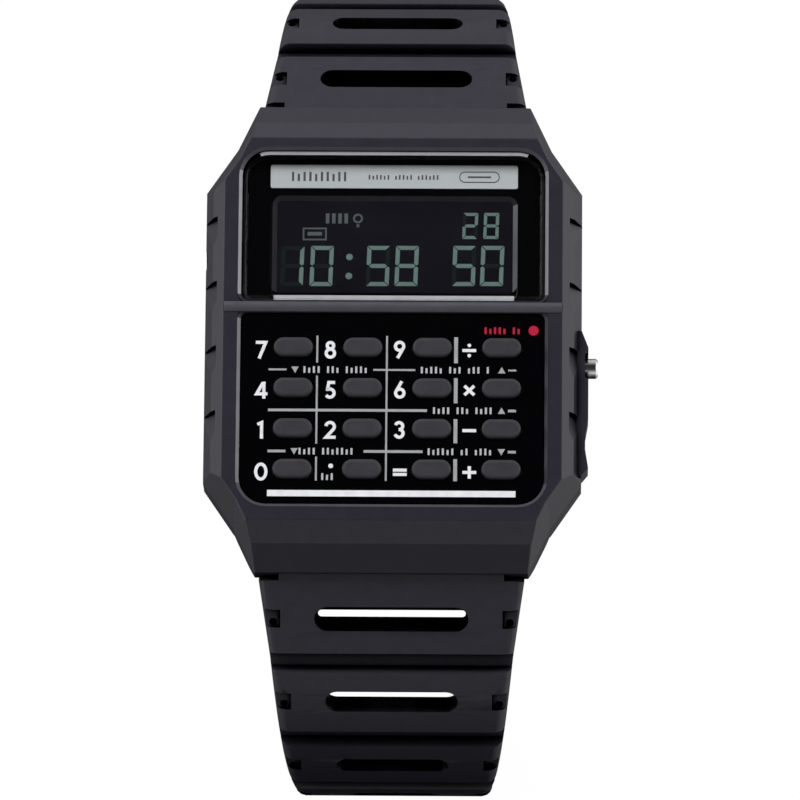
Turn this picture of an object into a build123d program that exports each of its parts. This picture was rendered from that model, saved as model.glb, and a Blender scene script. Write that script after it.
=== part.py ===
from build123d import *
import os
from math import cos, degrees, radians, sin, sqrt

os.makedirs("parts", exist_ok=True)

# All sizes are millimetres. +Z is out of the dial, +Y is 12 o'clock, +X is 3 o'clock, and the
# origin is the centre of the case back's outer face.

# Case shell, outside
rim_height = 8.2
facet_line_height = 6.7
waist_height = 4.25
foot_height = 0.9
shell_base = 0.15
waist_half_width = 16.9
waist_half_length = 21.55
waist_end_inset = 4.7
facet_side_inset = 0.7
facet_end_inset = 2.15
flat_side_inset = 1.75
flat_end_inset = 3.95
foot_inset = 0.6
corner_slope_share = 1.734
corner_dip_share = 0.09
edge_round = 0.22
overrun = 6.0

# Windows in the case's face
side_band = 1.55
top_band = 1.1
bottom_band = 1.5
crossbar_centre = 2.02
crossbar_width = 1.15
window_corner = 2.4
crossbar_corner = 0.7
window_bevel = 0.28
ledge_width = 0.42

# Cavity, back recess and flank details
side_wall = 3.3
end_wall = 1.1
deck_underside = 5.5
corner_boss = 3.4
recess_side_lap = 1.3
recess_end_lap = 0.7
recess_corner = 1.6
scoop_depth = 0.12
scoop_rise = 0.45
scoop_length = 3.0
scoop_pitch = 5.96
scoop_high_y = 10.5
scoop_low = 4.1
scoop_top = 7.3
scoop_count = 4
guard_depth = 0.6
guard_length = 13.3
guard_above = 3.1
guard_low = 2.3
guard_high = 5.5
guard_root = 1.3
guard_shares = ((0.0, 0.0), (0.115, 1.0), (0.14, 1.0), (0.15, 0.5), (0.32, 0.5), (0.33, 1.0),
                (0.6, 1.0), (0.715, 0.55), (0.82, 0.55), (0.945, 1.0), (1.0, 0.0))

# Glass, mask and display
window_gap = 0.1
crystal_sink = 0.25
crystal_thickness = 1.3
crystal_bevel = 0.2
gasket_thickness = 0.2
gasket_gap = 0.05
mask_thickness = 0.4
view_side_margin = 2.5
view_low_margin = 1.055
view_high_margin = 3.85
view_corner = 0.9
lcd_side_margin = 1.0
lcd_low_margin = 0.6
lcd_high_margin = 0.85
lcd_thickness = 1.1
polariser_thickness = 0.1
polariser_gap = 0.1
strip_margin = 1.0
strip_height = 2.15
strip_thickness = 0.15
zebra_width = 0.9
zebra_inset = 0.5
zebra_end_inset = 1.2

# Keypad
panel_sink = 0.3
panel_thickness = 0.7
key_length = 3.5
key_width = 1.75
key_round = 0.3
key_gap = 0.12
key_flange = 0.22
key_flange_thickness = 0.45
key_seat_gap = 0.05
key_travel = 0.5
key_side_room = 2.42
key_end_room = 2.665
key_shift = 0.46
mat_thickness = 0.6
mat_edge_gap = 0.1
mat_inset = 1.25
dome_base = 1.15
dome_top = 0.8
dome_cavity = 0.65

# Module
module_gap = 0.2
module_wall = 0.45
module_ledge = 0.45
module_top_gap = 0.05
module_base = 1.6
board_top = 4.45
board_thickness = 0.6
board_gap = 0.05
module_bar_width = 1.5
module_bar_gap = 0.25
chip_length = 7.0
chip_width = 5.0
chip_height = 0.9
chip_inset = 5.7
crystal_can_radius = 0.95
crystal_can_length = 5.5
crystal_can_inset = 4.8
coil_radius = 1.8
coil_height = 1.7
coil_bore = 0.6
pocket_gap = 0.3
battery_radius = 10.0
battery_thickness = 1.6
battery_lip = 1.4
battery_lip_height = 0.35
battery_inset = 1.3
battery_gap = 0.15
clip_thickness = 0.2
clip_width = 6.0
clip_inset = 1.2
clip_hole = 1.6
insulation_thickness = 0.1
insulation_inset = 0.5
module_screw_inset = 2.6
module_screw_radius = 0.4
module_screw_head = 0.75
module_screw_head_height = 0.35
module_screw_length = 1.5
screw_gap = 0.04

# Case back and buzzer
back_thickness = 0.8
back_gap = 0.1
back_bevel = 0.25
back_gasket_inset = 0.12
back_gasket_width = 0.4
back_gasket_height = 0.35
back_screw_inset = 0.75
back_screw_radius = 0.6
back_screw_head = 1.05
back_screw_head_height = 0.4
back_screw_length = 3.0
back_screw_sink = 0.05
drive_length = 1.2
drive_width = 0.28
drive_depth = 0.22
buzzer_radius = 7.0
buzzer_thickness = 0.35
buzzer_inset = 1.9
buzzer_cell_radius = 5.4
buzzer_cell_thickness = 0.1
spring_wire = 0.12
contact_spring_radius = 0.7
contact_spring_turns = 5
contact_spring_x = 5.6
contact_spring_gap = 0.4

# Pushers
pusher_z = 3.9
mode_y = -2.6
adjust_y = 7.1
head_radius = 0.9
head_stand = 1.15
adjust_sink = 0.35
head_gap = 0.05
bore_depth = 2.4
stem_radius = 0.45
stem_gap = 0.05
stem_reach = 0.85
spring_room = 1.5
pusher_spring_radius = 0.68
pusher_spring_turns = 3
seal_radius = 0.78
seal_thickness = 0.5
seal_offset = 0.35
pusher_clip_radius = 0.95
pusher_clip_thickness = 0.2
pusher_clip_groove = 0.12
pusher_clip_gap = 0.03
notch_half_width = 1.7
notch_reach = 2.0
contact_leaf = 0.15
contact_leaf_gap = 0.03
mode_travel = 0.7
adjust_travel = 0.6
contact_foot = 1.5
contact_half_width = 1.1
contact_rise = 0.5

# Lugs and spring bars
bar_inset = 2.35
bar_z = 3.23
bar_radius = 0.75
bar_end_gap = 0.25
tip_radius = 0.38
tip_gap = 0.05
tip_shank = 2.4
lug_gap_half = 10.25
lug_hole_depth = 1.3
lug_hole_gap = 0.06
tip_end_gap = 0.15
hood_gap = 0.3
lug_turn_gap = 0.25

# Strap, measured along its outer surface from where it leaves the hood
strap_slope = 32.0
strap_end_slope = 106.0
strap_straight = 8.3
strap_bend = 18.5
barrel_radius = 1.5
tongue_gap = 0.2
strap_tip_thickness = 2.3
shoulder_width = 24.0
plain_width = 18.0
taper_length = 28.0
taper_shares = ((0.0, 0.0), (0.29, 0.37), (0.58, 0.62), (0.79, 0.81), (1.0, 1.0))
segment_pitch = 8.17
groove_width = 1.5
groove_depth = 0.9
groove_flare = 0.35
slot_widths = (2.5, 2.1, 2.0, 2.0, 2.0, 2.0)
slot_lengths = (13.5, 12.1, 10.2, 8.0, 6.2, 4.4)
nick_length = 1.25
nick_reach = 1.3
nick_depth = 1.1
tail_length = 118.0
tail_round = 6.0
tang_hole_length = 2.8
tang_hole_width = 2.0
tang_hole_count = 7
buckle_length = 73.0
buckle_segment_count = 6
tail_segment_count = 13

# Buckle, tang and keeper
buckle_bar_radius = 0.7
running_gap = 0.05
buckle_barrel_radius = 1.5
buckle_side_gap = 0.2
buckle_arm_width = 1.8
buckle_reach = 12.5
buckle_far_bar = 2.3
buckle_heel = 1.7
buckle_thickness = 1.8
buckle_round = 2.2
buckle_edge_round = 0.35
tang_width = 2.1
tang_thickness = 0.9
tang_gap = 0.05
tang_overhang = 0.7
tang_slot_gap = 0.25
tang_slot_length = 4.5
keeper_place = 57.0
keeper_length = 5.0
keeper_wall = 1.0
keeper_side_gap = 0.3
keeper_under_gap = 0.2
keeper_over_gap = 2.8
keeper_round = 0.6

# Places worked out from the sizes above
waist_end_half_width = waist_half_width - waist_end_inset
facet_half_width = waist_half_width - facet_side_inset
facet_half_length = waist_half_length - facet_end_inset
flat_half_width = waist_half_width - flat_side_inset
flat_half_length = waist_half_length - flat_end_inset
window_half = flat_half_width - side_band
window_high = flat_half_length - top_band
window_low = crossbar_centre + crossbar_width / 2
keypad_high = crossbar_centre - crossbar_width / 2
keypad_low = bottom_band - flat_half_length
view_half_width = window_half - view_side_margin
view_low = window_low + view_low_margin
view_high = window_high - view_high_margin
lcd_half_width = view_half_width + lcd_side_margin
lcd_low = view_low - lcd_low_margin
lcd_high = view_high + lcd_high_margin
strip_high = window_high - strip_margin
strip_low = strip_high - strip_height
cavity_half_width = waist_half_width - side_wall
barrel_clear = barrel_radius + hood_gap
bar_y = waist_half_length - bar_inset
bar_half_length = lug_gap_half - bar_end_gap
end_face_y = bar_y - barrel_clear
cavity_half_length = end_face_y - end_wall
crystal_top = rim_height - crystal_sink
crystal_base = crystal_top - crystal_thickness
window_ledge = crystal_base - gasket_thickness
lcd_top = window_ledge - mask_thickness
lcd_base = lcd_top - lcd_thickness
panel_top = rim_height - panel_sink
panel_base = panel_top - panel_thickness
key_top = panel_top + key_travel
key_base = panel_base - key_seat_gap - key_flange_thickness
board_base = board_top - board_thickness
mat_top = board_top + mat_thickness
module_top = deck_underside - module_top_gap
module_bar_high = lcd_low - module_bar_gap
module_bar_low = module_bar_high - module_bar_width
module_screw_x = cavity_half_width - module_screw_inset
back_screw_x = cavity_half_width - back_screw_inset
back_screw_y = cavity_half_length - back_screw_inset
back_screw_tip = back_screw_sink + back_screw_head_height + back_screw_length
battery_base = module_base + clip_thickness
battery_top = battery_base + battery_thickness
battery_y = battery_radius + battery_inset - cavity_half_length
clip_reach = cavity_half_width - clip_inset
chip_y = cavity_half_length - chip_inset
crystal_can_x = cavity_half_width - crystal_can_inset
buzzer_y = cavity_half_length - buzzer_inset - buzzer_radius
contact_spring_y = chip_y - crystal_can_length / 2 - contact_spring_radius - contact_spring_gap
stem_end = cavity_half_width - stem_reach
lug_radius = sqrt((waist_half_length - bar_y) ** 2 + (waist_height - bar_z) ** 2)
tongue_half = lug_gap_half - tongue_gap
strap_thickness = 2 * barrel_radius
key_names = ("7", "8", "9", "divide", "4", "5", "6", "multiply",
             "1", "2", "3", "minus", "0", "point", "equals", "plus")
key_column_count = 4
key_row_count = len(key_names) // key_column_count
key_pitch_x = (2 * window_half - key_side_room) / key_column_count
key_pitch_y = (keypad_high - keypad_low - key_end_room) / key_row_count


def block(x_low, x_high, y_low, y_high, z_low, z_high):
    """Box between two corners."""
    middle = Pos((x_low + x_high) / 2, (y_low + y_high) / 2, (z_low + z_high) / 2)
    return middle * Box(x_high - x_low, y_high - y_low, z_high - z_low)


def rod(radius, x_low, x_high, y, z):
    """Cylinder along X."""
    return Pos((x_low + x_high) / 2, y, z) * Rot(0, 90, 0) * Cylinder(radius, abs(x_high - x_low))


def disc(radius, x, y, z_low, z_high):
    """Cylinder along Z."""
    return Pos(x, y, (z_low + z_high) / 2) * Cylinder(radius, z_high - z_low)


def raised(face, z_low, z_high):
    """Flat face stood up between two heights."""
    return extrude(Pos(0, 0, z_low) * face, z_high - z_low, dir=(0, 0, 1))


def rounded_face(half_width, y_low, y_high, low_corner, high_corner):
    """Rectangle with its own corner radius at each end."""
    flat = Pos(0, (y_low + y_high) / 2) * Rectangle(2 * half_width, y_high - y_low)
    rows = flat.vertices().group_by(Axis.Y)
    flat = fillet(rows[0], low_corner)
    return fillet(flat.vertices().group_by(Axis.Y)[-1], high_corner)


def octagon(half_width, half_length, corner):
    """Rectangle with its four corners cut at 45 degrees."""
    points = []
    for sx, sy in ((1, 1), (-1, 1), (-1, -1), (1, -1)):
        pair = [(sx * half_width, sy * (half_length - corner)),
                (sx * (half_width - corner), sy * half_length)]
        points += pair if sx * sy > 0 else pair[::-1]
    return make_face(Polyline(*points, close=True))


def cavity_face(inset):
    """Outline of the case's cavity, drawn in by an equal gap all round."""
    corner = corner_boss - inset * (2 - sqrt(2))
    return octagon(cavity_half_width - inset, cavity_half_length - inset, corner)


def shell_face(half_width, half_length, end_half_width):
    """Case outline at one height, its corners all on the same slopes and drawn in half way along."""
    step = half_width - end_half_width
    shoulder = half_length - corner_slope_share * step
    middle = (half_width + end_half_width) / 2 - corner_dip_share * step
    points = [(half_width, shoulder), (middle, (shoulder + half_length) / 2), (end_half_width, half_length)]
    points += [(-x, y) for x, y in points[::-1]]
    points += [(x, -y) for x, y in points[::-1]]
    return make_face(Polyline(*points, close=True))


def window_face(inset):
    """Display window, drawn in by an equal gap."""
    return rounded_face(window_half - inset, window_low + inset, window_high - inset,
                        crossbar_corner, window_corner - inset)


def keypad_face(inset):
    """Keypad window, drawn in by an equal gap."""
    return rounded_face(window_half - inset, keypad_low + inset, keypad_high - inset,
                        window_corner - inset, crossbar_corner)


def shell_body():
    """Faceted outside of the case."""
    end_step = waist_half_width - waist_end_half_width
    foot = shell_face(waist_half_width - foot_inset, waist_half_length - foot_inset,
                      waist_end_half_width - foot_inset / 2)
    waist = shell_face(waist_half_width, waist_half_length, waist_end_half_width)
    facet_end = facet_half_width - end_step * (facet_half_width - window_half) / (
        waist_half_width - window_half)
    flat_end = flat_half_width - end_step * (flat_half_width - window_half) / (
        waist_half_width - window_half)
    facet = shell_face(facet_half_width, facet_half_length, facet_end)
    flat = shell_face(flat_half_width, flat_half_length, flat_end)
    skirt = loft([Pos(0, 0, shell_base) * foot, Pos(0, 0, foot_height) * waist], ruled=True)
    wall = raised(waist, foot_height, waist_height)
    lower = loft([Pos(0, 0, waist_height) * waist, Pos(0, 0, facet_line_height) * facet], ruled=True)
    upper = loft([Pos(0, 0, facet_line_height) * facet, Pos(0, 0, rim_height) * flat], ruled=True)
    return skirt + wall + lower + upper


def window_cut(opening, ledge, ledge_height):
    """Window from the rim to its ledge, bevelled at the rim, and the smaller hole below."""
    cut = raised(opening(0), ledge_height, rim_height + overrun)
    bevel = loft([Pos(0, 0, rim_height - window_bevel) * opening(0),
                  Pos(0, 0, rim_height) * opening(-window_bevel)])
    return cut + bevel + raised(opening(ledge), deck_underside - window_bevel, ledge_height)


def strap_clearance():
    """Room for both strap tongues between the lugs, under the hoods."""
    slope = radians(strap_slope)
    touch_y = bar_y + barrel_clear * sin(slope)
    touch_z = bar_z + barrel_clear * cos(slope)
    out_y = touch_y + overrun * cos(slope)
    out_z = touch_z - overrun * sin(slope)
    crown = (bar_y - barrel_clear * sin(slope), bar_z + barrel_clear * cos(slope))
    outline = [
        Line((end_face_y, -overrun), (end_face_y, bar_z)),
        ThreePointArc((end_face_y, bar_z), crown, (touch_y, touch_z)),
        Line((touch_y, touch_z), (out_y, out_z)),
        Line((out_y, out_z), (out_y, -overrun)),
        Line((out_y, -overrun), (end_face_y, -overrun)),
    ]
    profile = make_face(outline)
    side = Plane(origin=(-lug_gap_half, 0, 0), x_dir=(0, 1, 0), z_dir=(1, 0, 0))
    one = extrude(side.location * profile, 2 * lug_gap_half, dir=(1, 0, 0))
    return one + mirror(one, about=Plane.XZ)


def lug_rounding():
    """Material outside the lug radius about each spring bar."""
    one = block(-waist_half_width - overrun, waist_half_width + overrun,
                end_face_y, waist_half_length + overrun, -overrun, waist_height)
    one -= rod(lug_radius, -waist_half_width - overrun, waist_half_width + overrun, bar_y, bar_z)
    upper = block(-waist_half_width - overrun, waist_half_width + overrun,
                  end_face_y, bar_y, bar_z, waist_height)
    one -= upper
    return one + mirror(one, about=Plane.XZ)


def flank_scoop(side, y):
    """Sawtooth scoop in the flank's facets: a step in at y, and a ramp back out below it."""
    lean = flat_side_inset / (rim_height - waist_height)
    slices = []
    for height in (scoop_low, scoop_top):
        x = waist_half_width - lean * (height - waist_height)
        points = [(x - scoop_depth, y), (x + overrun, y), (x + overrun, y - scoop_length),
                  (x + scoop_rise, y - scoop_length)]
        outline = Polyline(*[(side * px, py) for px, py in points], close=True)
        slices.append(Pos(0, 0, height) * make_face(outline))
    return loft(slices, ruled=True)


def pusher_guard():
    """Raised pad on the 3 o'clock flank, round the mode pusher and on to the lower corner."""
    high = mode_y + guard_above
    points = [(waist_half_width + depth_share * guard_depth, high - run_share * guard_length)
              for run_share, depth_share in guard_shares]
    inside = waist_half_width - guard_root
    points += [(inside, high - guard_length), (inside, high)]
    return raised(make_face(Polyline(*points, close=True)), guard_low, guard_high)


def pusher_face_x(side):
    """Where the flank's outer face stands at each pusher."""
    return waist_half_width + (guard_depth / 2 if side > 0 else 0)


def bore_floor_x(side):
    """Bottom of a pusher's counterbore."""
    return pusher_face_x(side) - bore_depth


def pusher_bores(side, y):
    """Stem bore, seal room and counterbore through one flank."""
    floor = bore_floor_x(side)
    inner = cavity_half_width - side_wall
    cut = rod(stem_radius + stem_gap, side * inner, side * floor, y, pusher_z)
    cut += rod(head_radius + head_gap, side * floor, side * (floor + overrun), y, pusher_z)
    seal_inner = cavity_half_width + seal_offset
    cut += rod(seal_radius, side * seal_inner, side * (seal_inner + seal_thickness), y, pusher_z)
    return cut


def back_recess():
    """Recess that the case back drops into, and the groove of its gasket."""
    outline = octagon(cavity_half_width + recess_side_lap, cavity_half_length + recess_end_lap,
                      recess_corner)
    cut = raised(outline, -overrun, back_thickness)
    groove = cavity_face(-back_gasket_inset - back_gasket_width) - cavity_face(-back_gasket_inset)
    return cut + raised(groove, back_thickness, back_thickness + back_gasket_height)


def back_screw_places():
    """The four corner screws."""
    return [(sx * back_screw_x, sy * back_screw_y) for sx in (-1, 1) for sy in (-1, 1)]


def make_case():
    """Resin case with its windows, lugs, cavity and bores."""
    case = shell_body()
    edges = [e for e in case.edges() if e.bounding_box().min.Z > waist_height - edge_round]
    case = fillet(edges, edge_round)
    for n in range(scoop_count):
        for side in (-1, 1):
            case -= flank_scoop(side, scoop_high_y - n * scoop_pitch)
    case += pusher_guard()
    case -= window_cut(window_face, ledge_width, window_ledge)
    case -= window_cut(keypad_face, ledge_width, panel_base)
    case -= raised(cavity_face(0), 0, deck_underside)
    case -= back_recess()
    case -= strap_clearance()
    case -= lug_rounding()
    case -= pusher_bores(1, mode_y)
    case -= pusher_bores(-1, adjust_y)
    hole = back_screw_radius + screw_gap
    for x, y in back_screw_places():
        case -= disc(hole, x, y, 0, back_screw_tip + screw_gap)
    reach = lug_gap_half + lug_hole_depth
    for y in (-bar_y, bar_y):
        case -= rod(tip_radius + lug_hole_gap, -reach, reach, y, bar_z)
    return case


def make_display_window():
    """Clear window with a bevelled edge."""
    glass = raised(window_face(window_gap), crystal_base, crystal_top)
    return chamfer(glass.faces().sort_by(Axis.Z)[-1].edges(), crystal_bevel)


def make_window_gasket():
    """Flat seal between the window and its ledge."""
    ring = window_face(window_gap) - window_face(ledge_width + gasket_gap)
    return raised(ring, window_ledge, crystal_base)


def make_display_mask():
    """Black frame round the display."""
    outline = window_face(ledge_width + window_gap)
    view = rounded_face(view_half_width, view_low, view_high, view_corner, view_corner)
    return raised(outline - view, lcd_top, window_ledge)


def make_title_strip():
    """Bare silver strip over the display."""
    strip = rounded_face(view_half_width, strip_low, strip_high, gasket_thickness, gasket_thickness)
    return raised(strip, window_ledge, window_ledge + strip_thickness)


def make_lcd_panel():
    """Display cell of two glass plates, the front one narrower, with its front film."""
    middle = lcd_base + lcd_thickness / 2
    rear = block(-lcd_half_width, lcd_half_width, lcd_low, lcd_high, lcd_base, middle)
    front = block(-lcd_half_width, lcd_half_width, lcd_low + zebra_width / 2,
                  lcd_high - zebra_width / 2, middle, lcd_top)
    film = rounded_face(view_half_width - polariser_gap, view_low + polariser_gap,
                        view_high - polariser_gap, view_corner, view_corner)
    return rear + front + raised(film, lcd_top, lcd_top + polariser_thickness)


def make_zebra_strips():
    """Two rubber connector strips between the board and the display cell."""
    half = lcd_half_width - zebra_end_inset
    strips = Part()
    for low in (lcd_low + zebra_inset, lcd_high - zebra_inset - zebra_width):
        strips += block(-half, half, low, low + zebra_width, board_top, lcd_base)
    return strips


def key_centres():
    """Name and place of each key, row by row."""
    centre_y = (keypad_low + keypad_high) / 2
    places = []
    for n, name in enumerate(key_names):
        row, column = divmod(n, key_column_count)
        places.append((name, key_shift + (column - (key_column_count - 1) / 2) * key_pitch_x,
                       centre_y + ((key_row_count - 1) / 2 - row) * key_pitch_y))
    return places


def make_keypad_panel():
    """Glossy plate with a hole for each key."""
    panel = raised(keypad_face(window_gap), panel_base, panel_top)
    hole = SlotOverall(key_length + 2 * key_gap, key_width + 2 * key_gap)
    for _, x, y in key_centres():
        panel -= raised(Pos(x, y) * hole, panel_base - overrun, panel_top + overrun)
    return panel


def make_key(x, y):
    """One key with its holding flange."""
    cap = raised(Pos(x, y) * SlotOverall(key_length, key_width), key_base, key_top)
    cap = fillet(cap.faces().sort_by(Axis.Z)[-1].edges(), key_round)
    flange = SlotOverall(key_length + 2 * (key_gap + key_flange), key_width + 2 * (key_gap + key_flange))
    return cap + raised(Pos(x, y) * flange, key_base, key_base + key_flange_thickness)


def make_key_mat():
    """Rubber sheet with a dome under each key and a contact pill in each dome."""
    outline = rounded_face(cavity_half_width - mat_inset, keypad_low + ledge_width,
                           module_bar_low - mat_edge_gap, window_corner, key_round)
    mat = raised(outline & cavity_face(mat_inset), board_top, mat_top)
    for _, x, y in key_centres():
        dome = Pos(x, y, (mat_top + key_base) / 2) * Cone(dome_base, dome_top, key_base - mat_top)
        mat += dome
        mat -= disc(dome_cavity, x, y, board_top, mat_top + key_travel)
    return mat


def make_module_frame():
    """Plastic frame that carries the display, the board and the battery."""
    wall = module_gap + module_wall
    frame = raised(cavity_face(module_gap), module_base, module_top)
    frame -= raised(cavity_face(wall), board_base, module_top + overrun)
    ledge = cavity_face(wall) - cavity_face(wall + module_ledge)
    frame += raised(ledge, board_top, module_top)
    bar_half = cavity_half_width - wall
    frame += block(-bar_half, bar_half, module_bar_low, module_bar_high, board_top, module_top)
    gap = polariser_gap
    frame -= block(-lcd_half_width - gap, lcd_half_width + gap, lcd_low - gap, lcd_high + gap,
                   board_top, module_top + overrun)
    low, high = module_base - overrun, board_base
    frame -= disc(battery_radius + battery_gap, 0, battery_y, low, high)
    frame -= block(-clip_reach - pocket_gap, clip_reach + pocket_gap,
                   battery_y - clip_width / 2 - pocket_gap, battery_y + clip_width / 2 + pocket_gap,
                   low, battery_base)
    room = chip_length / 2 + pocket_gap
    frame -= block(-room, room, chip_y - chip_width / 2 - pocket_gap,
                   chip_y + chip_width / 2 + pocket_gap, low, high)
    can = crystal_can_radius + pocket_gap
    frame -= block(crystal_can_x - can, crystal_can_x + can,
                   chip_y - crystal_can_length / 2 - pocket_gap,
                   chip_y + crystal_can_length / 2 + pocket_gap, low, high)
    frame -= disc(coil_radius + pocket_gap, -crystal_can_x, chip_y, low, high)
    for x in (-contact_spring_x, contact_spring_x):
        frame -= disc(contact_spring_radius + pocket_gap, x, contact_spring_y, low, high)
    for x in (-module_screw_x, module_screw_x):
        frame -= disc(module_screw_head + pocket_gap, x, module_screw_y(), low, high)
        frame -= disc(module_screw_radius, x, module_screw_y(), board_top,
                      board_top + module_screw_length - board_thickness)
    for side, y in ((1, mode_y), (-1, adjust_y)):
        frame -= pusher_notch(side, y, module_wall + notch_reach + contact_foot, module_top + overrun)
    return frame


def pusher_notch(side, y, reach, z_high):
    """Room round a pusher's inner end."""
    inner, outer = side * (cavity_half_width - reach), side * (cavity_half_width + module_gap)
    return block(min(inner, outer), max(inner, outer), y - notch_half_width, y + notch_half_width,
                 board_base - 2 * contact_rise, z_high)


def module_screw_y():
    """Module screws stand in the frame's cross bar."""
    return (module_bar_low + module_bar_high) / 2


def make_circuit_board():
    """Board, notched for the two pushers."""
    inset = module_gap + module_wall + board_gap
    board = raised(cavity_face(inset), board_base, board_top)
    for side, y in ((1, mode_y), (-1, adjust_y)):
        board -= pusher_notch(side, y, notch_reach, board_top + overrun)
    for x in (-module_screw_x, module_screw_x):
        board -= disc(module_screw_radius + screw_gap, x, module_screw_y(), 0, board_top + overrun)
    return board


def make_clock_chip():
    """Moulded drop of resin over the clock chip, under the board."""
    chip = block(-chip_length / 2, chip_length / 2, chip_y - chip_width / 2,
                 chip_y + chip_width / 2, board_base - chip_height, board_base)
    return chamfer(chip.faces().sort_by(Axis.Z)[0].edges(), chip_height / 3)


def make_quartz_crystal():
    """Can of the timing crystal, lying under the board."""
    place = Pos(crystal_can_x, chip_y, board_base - crystal_can_radius) * Rot(90, 0, 0)
    return place * Cylinder(crystal_can_radius, crystal_can_length)


def make_boost_coil():
    """Coil that drives the buzzer."""
    coil = disc(coil_radius, -crystal_can_x, chip_y, board_base - coil_height, board_base)
    waist = coil_height / 4
    ring = disc(coil_radius, -crystal_can_x, chip_y, board_base - coil_height + waist, board_base - waist)
    ring -= disc(coil_radius - waist, -crystal_can_x, chip_y, 0, board_base)
    return coil - ring - disc(coil_bore, -crystal_can_x, chip_y, 0, board_base - waist)


def make_battery():
    """Coin cell, its narrower lid up."""
    cell = disc(battery_radius, 0, battery_y, battery_base, battery_top - battery_lip_height)
    return cell + disc(battery_radius - battery_lip, 0, battery_y, battery_base, battery_top)


def make_battery_clip():
    """Steel strip across the battery."""
    clip = block(-clip_reach, clip_reach, battery_y - clip_width / 2, battery_y + clip_width / 2,
                 module_base, battery_base)
    for x in (-battery_radius + clip_hole, battery_radius - clip_hole):
        clip -= disc(clip_hole, x, battery_y, 0, battery_base + overrun)
    return clip


def make_insulation_sheet():
    """Thin sheet under the module."""
    sheet = raised(cavity_face(insulation_inset), module_base - insulation_thickness, module_base)
    for x in (-contact_spring_x, contact_spring_x):
        sheet -= disc(contact_spring_radius + pocket_gap, x, contact_spring_y, 0, module_base + overrun)
    return sheet


def make_module_screws():
    """Two small screws that hold the board to the frame."""
    screws = Part()
    for x in (-module_screw_x, module_screw_x):
        y = module_screw_y()
        screws += disc(module_screw_head, x, y, board_base - module_screw_head_height, board_base)
        screws += disc(module_screw_radius - screw_gap / 2, x, y, board_base,
                       board_base + module_screw_length - screw_gap)
    return screws


def spring_coil(radius, length, turns):
    """Open coil spring along Z, its wire's ends at 0 and at its length."""
    rise = length - 2 * spring_wire
    path = Helix(rise / turns, rise, radius - spring_wire)
    section = Plane(origin=path @ 0, z_dir=path % 0) * Circle(spring_wire)
    return Pos(0, 0, spring_wire) * sweep(section, path)


def make_contact_springs():
    """Two springs from the board to the buzzer."""
    low = back_thickness + buzzer_thickness
    springs = Part()
    for x in (-contact_spring_x, contact_spring_x):
        coil = spring_coil(contact_spring_radius, board_base - low, contact_spring_turns)
        springs += Pos(x, contact_spring_y, low) * coil
    return springs


def make_side_contacts():
    """Leaf under the board at each pusher, which the stem reaches at the end of its travel."""
    leaves = Part()
    for side, y, travel in ((1, mode_y, mode_travel), (-1, adjust_y, adjust_travel)):
        face = stem_end - travel - contact_leaf_gap
        back = face - contact_leaf
        toe = cavity_half_width - notch_reach - contact_foot
        foot = sorted((side * toe, side * face))
        leaves += block(*foot, y - contact_half_width, y + contact_half_width,
                        board_base - contact_leaf, board_base)
        upright = sorted((side * back, side * face))
        leaves += block(*upright, y - contact_half_width, y + contact_half_width,
                        board_base - contact_rise, board_top)
    return leaves


def make_buzzer_disc():
    """Piezo disc on the inside of the case back."""
    plate_top = back_thickness + buzzer_thickness - buzzer_cell_thickness
    plate = disc(buzzer_radius, 0, buzzer_y, back_thickness, plate_top)
    return plate + disc(buzzer_cell_radius, 0, buzzer_y, back_thickness,
                        back_thickness + buzzer_thickness)


def make_back_gasket():
    """Seal in the groove round the cavity."""
    ring = cavity_face(-back_gasket_inset - back_gasket_width) - cavity_face(-back_gasket_inset)
    return raised(ring, back_thickness, back_thickness + back_gasket_height)


def make_case_back():
    """Steel back, countersunk at its corners."""
    outline = octagon(cavity_half_width + recess_side_lap - back_gap,
                      cavity_half_length + recess_end_lap - back_gap, recess_corner)
    back = raised(outline, 0, back_thickness)
    back = chamfer(back.faces().sort_by(Axis.Z)[0].edges(), back_bevel)
    for x, y in back_screw_places():
        back -= disc(back_screw_radius + screw_gap, x, y, 0, back_thickness)
        back -= disc(back_screw_head + screw_gap, x, y, 0, back_screw_sink + back_screw_head_height)
    return back


def make_back_screws():
    """Four cross-head screws of the case back."""
    screws = Part()
    for x, y in back_screw_places():
        head_top = back_screw_sink + back_screw_head_height
        screw = disc(back_screw_head, x, y, back_screw_sink, head_top)
        screw += disc(back_screw_radius, x, y, head_top, back_screw_tip)
        for long_x in (True, False):
            half_x = (drive_length if long_x else drive_width) / 2
            half_y = (drive_width if long_x else drive_length) / 2
            screw -= block(x - half_x, x + half_x, y - half_y, y + half_y,
                           0, back_screw_sink + drive_depth)
        screws += screw
    return screws


def pusher_head_x(side):
    """Outer face of a pusher's head."""
    return pusher_face_x(side) + (head_stand if side > 0 else -adjust_sink)


def head_foot_x(side):
    """Inner face of a pusher's head, on its spring."""
    return bore_floor_x(side) + spring_room


def clip_place_x():
    """Inner face of a pusher's retaining clip, just inside the cavity wall."""
    return cavity_half_width - pusher_clip_gap - pusher_clip_thickness


def make_pusher(side, y):
    """Head, stem and clip groove of one pusher."""
    foot, face = head_foot_x(side), pusher_head_x(side)
    head = rod(head_radius, side * foot, side * face, y, pusher_z)
    outer = head.faces().sort_by(Axis.X)[-1 if side > 0 else 0]
    head = chamfer(outer.edges(), head_radius / 5)
    stem = rod(stem_radius, side * stem_end, side * foot, y, pusher_z)
    low = clip_place_x()
    groove = rod(stem_radius + stem_gap, side * low, side * (low + pusher_clip_thickness), y, pusher_z)
    groove -= rod(stem_radius - pusher_clip_groove, side * low,
                  side * (low + pusher_clip_thickness), y, pusher_z)
    return head + stem - groove


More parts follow.
